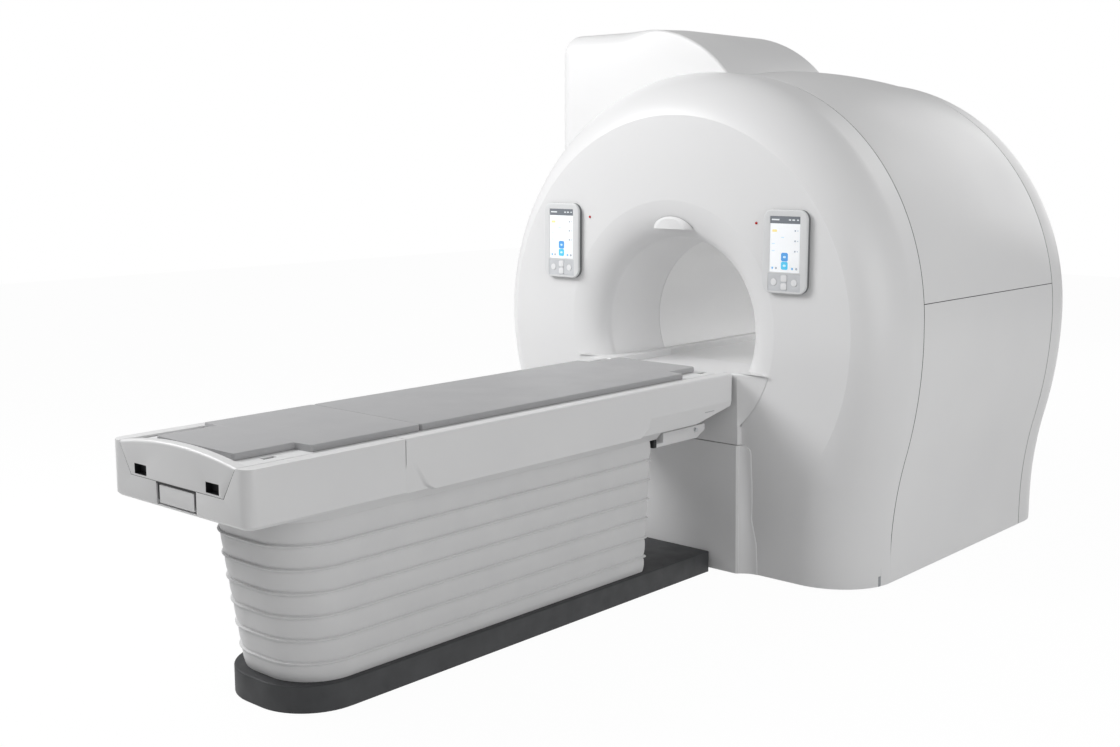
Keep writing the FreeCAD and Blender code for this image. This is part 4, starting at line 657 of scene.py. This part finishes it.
def dock():
    """Dock over the lower panel: block, wings out to the flare's circle, shelf and channel.

    The front is ruled across at each height: level over the block, then slightly hollow out
    to the flare's circle, whose half width is the root of RIM squared less the height squared.
    Between the channel's walls it stops at the channel's floor, so the tabletop can pass.
    """
    foot, wing, bevel, half = 528.5, 588.0, 8.0, 350.0
    z = np.concatenate([np.linspace(foot, wing, 8), np.linspace(wing, TOP - bevel, 40)[1:]])
    t = np.radians(np.linspace(0, 90, 8))[1:]
    heights = np.concatenate([z, TOP - bevel + bevel * np.sin(t)])
    ease = np.concatenate([np.zeros(len(z)), bevel * (1 - np.cos(t))])
    reach = np.sqrt(np.clip(RIM ** 2 - (heights - RIM_Z) ** 2, 0, None))
    reach = np.where(heights < wing, half, np.maximum(reach, half)) - 0.5
    bend = half - 4
    columns = np.concatenate([np.linspace(0, CHANNEL, 10), [CHANNEL + 2],
                              np.linspace(300, bend, 3)])
    tip = dock_front(heights)
    share = smooth((heights - wing) / 30)
    edge = (tip + 10) * (1 - share) + (face_at(heights) - 1.0) * share
    across = np.linspace(0, 1, 12)
    half_x = np.concatenate([np.repeat(columns[None], len(heights), 0),
                             bend + (reach - bend)[:, None] * across[None, 1:]], 1)
    sag = 4 * (reach - bend)[:, None] / 140 * (across * (1 - across))[None, 1:] * 4
    half_y = np.concatenate([np.repeat(tip[:, None], len(columns), 1),
                             tip[:, None] + (edge - tip)[:, None] * across[None, 1:] + sag], 1)
    half_y = half_y + ease[:, None]
    x = np.concatenate([-half_x[:, :0:-1], half_x], 1)
    y = np.concatenate([half_y[:, :0:-1], half_y], 1)
    front = grid(x, y, np.minimum(heights[:, None],
                                  np.where(np.abs(x) <= CHANNEL, CHANNEL_Z, TOP)))
    # the block's short sides run back into the face
    z = np.linspace(foot, wing + 12, 6)[:, None]
    sheets = [(front, (0, -600, 700), False)]
    for sign in (1, -1):
        side = grid(sign * (half - 0.5), np.linspace(0, 60, 4)[None] + dock_front(z) + 10, z)
        sheets.append((side, (0, -860, 560), False))
    # shelf: from the channel's wall out into the flare, carried from the front to the liner
    depth = np.concatenate([[dock_front(TOP) + bevel], np.linspace(-896, -THROAT_Y, 16),
                            np.linspace(-780, -LINER - 2, 6)])
    face = FRONT - DISH
    sweep = np.arcsin(np.clip((-depth - THROAT_Y) / (face - THROAT_Y), 0, 1) * math.sin(SWEEP))
    radius = np.where(depth < -THROAT_Y, flare_radius(sweep),
                      BORE + (THROAT - BORE) * (-depth - LINER) / (THROAT_Y - LINER))
    out = np.sqrt(np.clip(radius ** 2 - (TOP - BORE_Z) ** 2, 0, None)) + 4
    out[:2] = reach[-1]
    ends = np.array([1.0, 0, 0, 0, 0, 0, 0, -1.0])
    inner = np.array([0, CHANNEL + 2, CHANNEL, CHANNEL, -CHANNEL, -CHANNEL, -CHANNEL - 2, 0])
    level = np.array([TOP, TOP, TOP - 2, CHANNEL_Z, CHANNEL_Z, TOP - 2, TOP, TOP])
    shelf = grid(out[:, None] * ends[None] + inner[None], depth[:, None], level[None])
    sheets.append((shelf, (0, -700, 500), False))
    piece("dock_skin", sheets, "scanner", PAINT, 14, ())


def flange_edge(z):
    """Half width of the lower panel's flange: 395, a kink at 226, and 414 at the floor."""
    return np.interp(z, [8, 129, 226, 348, 527], [414, 410, 389, 395, 395])


def lower_panel():
    """Lower front panel: a box over the dock's foot, slim bevels, and a flange beside it."""
    high, corner, half = 525.5, 30.0, 351.0
    z = np.linspace(LIFT, high, 50)[:, None]
    # from the block's bevel back to the face, then out along the face to the flange's edge
    up = np.clip(z - (high - corner), 0, corner)
    edge = flange_edge(z) - (corner - np.sqrt(np.clip(corner ** 2 - up ** 2, 0, None)))
    front = dock_front(z)
    face = np.maximum(face_at(z) - 3.0, front + 12)
    run = np.linspace(0, 1, 9)[None]
    ease = (face - front - 11) * (1 - run) ** 2
    half_x = np.concatenate([np.linspace(0, half - 12, 12)[None] + 0 * z, half - 3 + 0 * z,
                             half - 2.5 + 0 * z, half + (edge - 3 - half) * run, edge - 1, edge],
                            1)
    half_y = np.concatenate([front + np.zeros((1, 12)), front + 6, front + 9,
                             face - ease, face + 0.8, face + 6], 1)
    x = np.concatenate([-half_x[:, :0:-1], half_x], 1)
    y = np.concatenate([half_y[:, :0:-1], half_y], 1)
    skin = grid(x, y, z)
    top = np.stack([skin[-1], skin[-1] + [0, 14, 0]])
    piece("lower_front_panel_skin",
          [(skin, (0, -500, 260), False), (top, (0, -870, 300), False)],
          "scanner", PAINT, 20, ["lower_front_panel"])


front_cover()
middle_covers()
rear_cover()
seam_shade_strips()
bore_tube()
turret()
dock()
lower_panel()


# ---------------------------------------------------------------- bellows

def ring_path(half, front, rear, corner, small):
    """Plan of the bellows: round corners in front, small ones behind; arrays of x and y.

    half, front, rear and the corner radii are columns, one row for each level.
    """
    quarter = np.linspace(0, math.pi / 2, 24)[None]
    x1 = (half - corner) + corner * np.sin(quarter)
    y1 = (front + corner) - corner * np.cos(quarter)
    x2 = (half - small) + small * np.cos(quarter)
    y2 = (rear - small) + small * np.sin(quarter)
    mid = np.linspace(0, 1, 40)[None, 1:-1]
    xs = x1[:, -1:] * (1 - mid) + x2[:, :1] * mid
    ys = y1[:, -1:] * (1 - mid) + y2[:, :1] * mid
    right_x = np.concatenate([x1, xs, x2], 1)
    right_y = np.concatenate([y1, ys, y2], 1)
    flat = np.linspace(0, 1, 12)[None, 1:-1]
    front_x = -half + corner + (2 * (half - corner)) * flat
    rear_x = (half - small) - (2 * (half - small)) * flat
    x = np.concatenate([right_x, rear_x, -right_x[:, ::-1], front_x, right_x[:, :1]], 1)
    y = np.concatenate([right_y, rear + 0 * rear_x, right_y[:, ::-1], front + 0 * front_x,
                        right_y[:, :1]], 1)
    return x, y


def bellows():
    """Bellows: panels that belly between stitched ribs; each rib is a rounded bead 9 mm out.

    The half width grows by 28 mm from foot to head; a panel bellies by 3.4 mm times a half
    sine, with a fold drawn in under each bead; a bead is a half ellipse 7.6 mm high; slack
    waves of 1 mm run along the panels. Behind, the beads stop at 6 mm, clear of the latch.
    """
    low, top, first, pitch = 85.0, 594.0, 145.0, 75.0
    ribs = first + pitch * np.arange(6)
    knots = np.concatenate([[low], ribs, [top]])
    z = [np.linspace(low, top, 260)]
    for rib in ribs:
        z.append(rib + np.linspace(-4.5, 4.5, 15))
    z = np.unique(np.round(np.concatenate(z), 3))
    place = np.searchsorted(knots, z, side="right") - 1
    place = np.clip(place, 0, len(knots) - 2)
    share = (z - knots[place]) / (knots[place + 1] - knots[place])
    belly = 3.4 * np.sin(math.pi * share) ** 0.8
    gap = z[:, None] - ribs[None]
    near = np.min(np.abs(gap), 1)
    under = gap[np.arange(len(z)), np.argmin(np.abs(gap), 1)] < 0
    bead = 9.0 * np.sqrt(np.clip(1 - (near / 3.8) ** 2, 0, 1))
    dent = -np.where(under, 3.4, 1.2) * np.exp(-((near - 5.5) / 2.6) ** 2)
    out = np.maximum(belly + dent, bead)[:, None]
    grow = ((z - low) / (top - low))[:, None]
    half, front = 204 + 28 * grow + out, -(2893 + 69 * grow) - out
    rear = -1294 + np.minimum(out, 6)
    x, y = ring_path(half, front, rear, 165.0 + out, 14.0 + 0 * out)
    slack = (np.sin(y / 61.0 + 1.7 * place[:, None]) + np.sin(y / 23.0 + place[:, None]) * 0.4)
    slack = slack * np.sin(math.pi * share)[:, None] * (near > 6)[:, None]
    x = x + np.sign(x) * slack * 0.9
    skin = grid(x, y, z[:, None])
    made = piece("bellows_cloth", [(skin, (0, -2100, 340), False)], "scanner", CLOTH, 40,
                 ["bellows"])
    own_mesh(made)


bellows()


# ---------------------------------------------------------------- table covers

def panel_recess(y, z):
    """How far the table's side stands back beside the skirt panel: 14 mm at the foot, none above.

    The panel's front end slants from 740 mm down to the foot; its rear end is steep.
    """
    front = np.interp(z, [639, 657, 740], [-2479, -2510, -2565])
    rear = np.interp(z, [642, 668, 702], [-1485, -1439, -1428])
    ahead = smooth((front - y) / 14) * np.clip((742 - z) / 104, 0, 1)
    behind = smooth((y - rear) / 10) * np.clip((706 - z) / 66, 0, 1)
    return 14 * np.maximum(ahead, behind)


def table_side(name, sign):
    """Long side of the table: rim, rounded edge, outer face with its skirt panel, foot.

    The section is carried from the seam to the rear end; the foot rises over the last
    200 mm, and each end turns inwards by 5 mm.
    """
    start, end, inner, outer = -2601.5, -925.0, 289.0, 335.0
    rim, edge, small = 812.0, 8.0, 4.0
    y = np.concatenate([np.linspace(start, -2400, 90), np.linspace(-2395, -1520, 30),
                        np.linspace(-1510, -1400, 60), np.linspace(-1390, end, 30)])[:, None]
    foot = 640 + 44 * np.clip((y + 1129) / 204, 0, 1)
    t = np.radians(np.linspace(0, 90, 7))[None]
    shoulder = rim - edge
    high = shoulder + (foot + small - shoulder) * np.linspace(0, 1, 46)[None, 1:]
    turn = small * (1 - np.cos(t[:, 1:]))
    x = np.concatenate([inner + 0 * y, inner + 0 * y, inner + 2 + 0 * y,
                        outer - edge + edge * np.sin(t) + 0 * y,
                        outer - panel_recess(y, high),
                        outer - panel_recess(y, foot) - turn,
                        outer - 34 - panel_recess(y, foot)], 1)
    z = np.concatenate([785 + 0 * y, rim - 2 + 0 * y, rim + 0 * y,
                        shoulder + edge * np.cos(t) + 0 * y, high,
                        foot + small - small * np.sin(t[:, 1:]), foot], 1)
    skin = grid(sign * x, y, z)
    tuck = (np.where(x > outer - edge - 1, 5, 0),
            np.where((z > shoulder - 1) & (x < outer - 1), 5, 0))
    ends = [skin[row] - np.stack([sign * tuck[0][row], 0 * x[row], tuck[1][row]], -1)
            for row in (0, -1)]
    skin = np.concatenate([ends[0][None], skin, ends[1][None]])
    piece(f"table_side_{name}_skin", [(skin, (sign * 250, -1800, 700), False)], "table",
          TABLE_PAINT, 24, [f"table_side_cover_{name}"])


def cap_shadow():
    """Painted shadow: a dark strip behind the narrow gap under and beside the cap of the table's
    foot end.
    """
    deep, corners = -3170.4, [(-285, 806), (-229, 718), (229, 718), (285, 806)]
    strips = []
    for (x1, z1), (x2, z2) in zip(corners[:-1], corners[1:]):
        along = np.hypot(x2 - x1, z2 - z1)
        out = np.array([z2 - z1, 0, x1 - x2]) / along
        t = np.linspace(0, 1, 9)[:, None, None]
        line = np.array([x1, deep, z1]) * (1 - t) + np.array([x2, deep, z2]) * t
        strips.append((line + out * np.array([-3.0, 5.0])[None, :, None], (0, -3000, 760), False))
    # the near black nylon finish here paints the gap's shadow
    piece("cap_gap_painted_shadow", strips, "table", NYLON)


def socket_linings():
    """Black linings inside the two oblong sockets of the cap: four walls and a back."""
    place, middle, half_x, half_z = 178.0, 740.0, 30.6, 15.1
    mouth, half_way, end = -3170.6, -3160.0, -3150.0
    for name, sign in (("left", -1), ("right", 1)):
        x = place * sign + half_x * np.array([-1, 1, 1, -1, -1])
        z = middle + half_z * np.array([-1, -1, 1, 1, -1])
        walls = grid(x, np.array([mouth, half_way, end])[:, None], z)
        back = grid(x[:2], end, z[1:3, None])
        piece(f"socket_lining_{name}", [(walls, (place * sign, half_way, middle), True),
                                        (back, (place * sign, end + 50, middle), False)],
              "tabletop", NYLON, 30)


table_side("left", -1)
table_side("right", 1)
cap_shadow()
socket_linings()


# ---------------------------------------------------------------- mats

def mat(name, start, end, tab_end, node):
    """One mat: a broad part and a narrower tab, crowned, with sides drawn in between edges.

    The plan is a rectangle whose half width steps down smoothly over the last stretch; the
    upper skin rises by 3 mm as one less the fourth power of the distance from the middle,
    and the rim is a half round of the mat's own thickness.
    """
    low, thick, crown, half, tab = 808.0, 24.0, 3.0, 264.0, 194.0
    long = np.linspace(0, 1, 240)
    y = start + (end - start) * long
    corner = 14.0
    inset = np.clip(corner - np.minimum(y - y.min(), y.max() - y), 0, corner)
    ends = corner - np.sqrt(np.clip(corner ** 2 - inset ** 2, 0, None))
    way = 1 if tab_end < (start + end) / 2 else -1
    inside = smooth(way * (y - tab_end) / 6.0 + 0.5)
    wide = tab + (half - tab) * inside - ends
    wide = wide - 2.0 * np.sin(math.pi * long) ** 2
    turn = np.radians(np.linspace(-90, 90, 17))
    rim = 5.0
    across = np.linspace(-1, 1, 41)
    upper_x = across[None] * (wide - rim)[:, None]
    rise = crown * (1 - np.abs(across) ** 4)[None] * (1 - np.abs(2 * long - 1) ** 12)[:, None]
    top = low + thick - crown + rise
    middle = low + (thick - crown) / 2
    side_x = (wide - rim)[:, None] + rim * np.cos(turn)[None, ::-1]
    side_z = middle + (middle - low) * np.sin(turn)[None, ::-1]
    x = np.concatenate([upper_x[:, :-1], side_x, -side_x[:, ::-1]], 1)
    z = np.concatenate([top[:, :-1], side_z + 0 * side_x, side_z[:, ::-1] + 0 * side_x], 1)
    x = np.concatenate([x, x[:, :1]], 1)
    z = np.concatenate([z, z[:, :1]], 1)
    skin = grid(x, y[:, None], z)
    core = (0, (start + end) / 2, middle)
    sheets = [(skin, core, False)]
    t = np.linspace(0, 1, 8)[:, None, None]
    for row in (skin[0], skin[-1]):
        centre = row * [1, 1, 0] + [0, 0, middle]
        sheets.append((row * (1 - t) + centre * t, core, False))
    made = piece(name, sheets, "tabletop", VINYL, 40, [node])


mat("mat_foot", -3108.0, -2476.0, -2895.0, "pad_foot")
mat("mat_main", -2474.0, -968.0, -1140.0, "pad_main")


# ---------------------------------------------------------------- carried-over parts

def shade_by_angle():
    """Modifier tree: faces shade smoothly, and edges over 32 degrees stay crisp."""
    tree = bpy.data.node_groups.new("shade_by_angle", "GeometryNodeTree")
    tree.interface.new_socket("Geometry", in_out="INPUT", socket_type="NodeSocketGeometry")
    tree.interface.new_socket("Geometry", in_out="OUTPUT", socket_type="NodeSocketGeometry")
    start = add(tree, "NodeGroupInput").outputs[0]
    even = add(tree, "GeometryNodeSetShadeSmooth", {"Geometry": start}, domain="FACE")
    bend = add(tree, "GeometryNodeInputMeshEdgeAngle").outputs[0]
    crisp = add(tree, "FunctionNodeCompare", {0: bend, 1: math.radians(32)},
                operation="GREATER_THAN").outputs[0]
    done = add(tree, "GeometryNodeSetShadeSmooth",
               {"Geometry": even.outputs[0], "Selection": crisp, "Shade Smooth": False},
               domain="EDGE")
    add(tree, "NodeGroupOutput", {0: done.outputs[0]})
    return tree


BY_ANGLE = shade_by_angle()


def dress(name, finish, bevel=0.0, steps=3):
    """Gives a node its finish, a small rounding on its edges, and smooth shading."""
    thing = NODES[name]
    if not thing.material_slots:
        thing.data.materials.append(finish)
    for slot in thing.material_slots:
        slot.material = finish
    weld = thing.modifiers.new("weld", "WELD")
    weld.merge_threshold = 0.00002
    if bevel:
        round_off = thing.modifiers.new("bevel", "BEVEL")
        round_off.width, round_off.segments = bevel * MM, steps
        round_off.limit_method, round_off.angle_limit = "ANGLE", math.radians(38)
        round_off.miter_outer = "MITER_ARC"
        round_off.use_clamp_overlap = True
        round_off.harden_normals = False
    even = thing.modifiers.new("shade", "NODES")
    even.node_group = BY_ANGLE


for name, finish, bevel in (
        ("anchor_plate", POWDER, 2), ("magnet_cradles", POWDER, 2), ("magnet_vessel", STEEL, 0),
        ("cold_head", NICKEL, 0), ("gradient_coil", RESIN, 0),
        ("gradient_mount_rings", NYLON, 0), ("rf_body_coil", RESIN, 0),
        ("front_cover_frame", POWDER, 0), ("rear_cover_frame", POWDER, 0),
        ("bore_bridge", GEL_COAT, 2), ("light_hood", PAINT, 0),
        ("indicator_left", LENS, 0.5), ("indicator_right", LENS, 0.5),
        ("base_plate", BLACK_PAINT, 3), ("lift_columns_outer", ANODISED, 2),
        ("lift_columns_middle", ANODISED, 2), ("lift_columns_inner", ANODISED, 2),
        ("table_frame", POWDER, 0), ("foot_end_cover", TABLE_PAINT, 2),
        ("belly_pan", TABLE_PAINT, 2), ("drive_housing", TABLE_PAINT, 3),
        ("drive_housing_knob", ABS, 1), ("housing_latch", NYLON, 1),
        ("linear_actuator", ANODISED, 1), ("drive_carriage", POWDER, 1),
        ("tabletop_slide_block", GUIDE, 1), ("tabletop_runners", GUIDE, 1),
        ("tabletop_board", COMPOSITE, 2), ("end_cap", TABLE_PAINT, 2),
        ("coil_sockets", NYLON, 0.6), ("release_paddle", TABLE_PAINT, 2),
        ("paddle_pin", PIN, 0), ("paddle_ears", NYLON, 1)):
    dress(name, finish, bevel)

for side in ("left", "right"):
    dress(f"panel_{side}_housing", ABS_WITH_PAINTED_SHADE, 3)
    dress(f"panel_{side}_screen", GLASS, 0.5)
    dress(f"panel_{side}_keypad", PANEL_DEEP, 0.8)
    for key in ("in", "out", "up", "down"):
        dress(f"panel_{side}_key_{key}", SILICONE, 1.0)


# ---------------------------------------------------------------- stage

def stage_floor():
    """Pale floor that the camera sees as near white, keeping a faint shadow."""
    mesh = bpy.data.meshes.new("floor")
    reach = 14.0
    mesh.from_pydata([(-reach, -reach, 0), (reach, -reach, 0), (reach, reach, 0),
                      (-reach, reach, 0)], [], [(0, 1, 2, 3)])
    made = bpy.data.materials.new("pale_studio_floor")
    made.use_nodes = True
    tree = made.node_tree
    tree.nodes.clear()
    plain = add(tree, "ShaderNodeBsdfDiffuse", {"Color": shade("D2D2D2")})
    white = add(tree, "ShaderNodeEmission", {"Color": (1, 1, 1, 1), "Strength": 1.02})
    path = add(tree, "ShaderNodeLightPath")
    seen = add(tree, "ShaderNodeMath", {0: path.outputs["Is Camera Ray"],
                                        1: path.outputs["Is Glossy Ray"]}, operation="MAXIMUM")
    through = add(tree, "ShaderNodeMath", {0: seen.outputs[0],
                                           1: path.outputs["Is Transmission Ray"]},
                  operation="MAXIMUM")
    mostly = add(tree, "ShaderNodeMath", {0: through.outputs[0], 1: 0.95}, operation="MULTIPLY")
    mixed = add(tree, "ShaderNodeMixShader", {0: mostly.outputs[0], 1: plain.outputs[0],
                                              2: white.outputs[0]})
    add(tree, "ShaderNodeOutputMaterial", {"Surface": mixed.outputs[0]})
    mesh.materials.append(made)
    thing = bpy.data.objects.new("floor", mesh)
    SCENE.collection.objects.link(thing)


def sky():
    """Even surroundings: soft grey light on the object, white to the camera."""
    world = bpy.data.worlds.new("studio")
    SCENE.world = world
    world.use_nodes = True
    tree = world.node_tree
    tree.nodes.clear()
    soft = add(tree, "ShaderNodeBackground", {"Color": (1, 1, 1, 1), "Strength": 0.39})
    white = add(tree, "ShaderNodeBackground", {"Color": (1, 1, 1, 1), "Strength": 1.0})
    path = add(tree, "ShaderNodeLightPath")
    mixed = add(tree, "ShaderNodeMixShader", {0: path.outputs["Is Camera Ray"],
                                              1: soft.outputs[0], 2: white.outputs[0]})
    add(tree, "ShaderNodeOutputWorld", {"Surface": mixed.outputs[0]})


def lamp(name, place, aim, size, power, spread=180):
    """One square area lamp at a place in metres, aimed at a point, with a beam in degrees."""
    light = bpy.data.lights.new(name, "AREA")
    light.shape, light.size, light.energy = "SQUARE", size, power
    light.spread = math.radians(spread)
    thing = bpy.data.objects.new(name, light)
    thing.location = place
    thing.rotation_euler = (Vector(aim) - Vector(place)).to_track_quat("-Z", "Y").to_euler()
    SCENE.collection.objects.link(thing)


stage_floor()
sky()
lamp("key_lamp", (-2.6, -3.4, 3.4), (0.0, -0.8, 1.5), 1.8, 105)
lamp("top_lamp", (-1.0, -4.2, 4.6), (0.0, -1.2, 0.8), 2.5, 22)
lamp("front_lamp", (-3.5, -6.0, 4.5), (0.0, -1.2, 0.8), 3.0, 58)
lamp("side_lamp", (6.5, -2.0, 2.6), (0.0, -1.2, 0.8), 4.0, 118)
lamp("back_lamp", (1.0, 6.0, 3.5), (0.0, 0.0, 1.0), 4.0, 78)
lamp("bore_lamp", (0.0, 0.93, 1.07), (0.0, -1.0, 0.97), 0.44, 1.6, spread=50)
SCENE.view_settings.view_transform = "Standard"
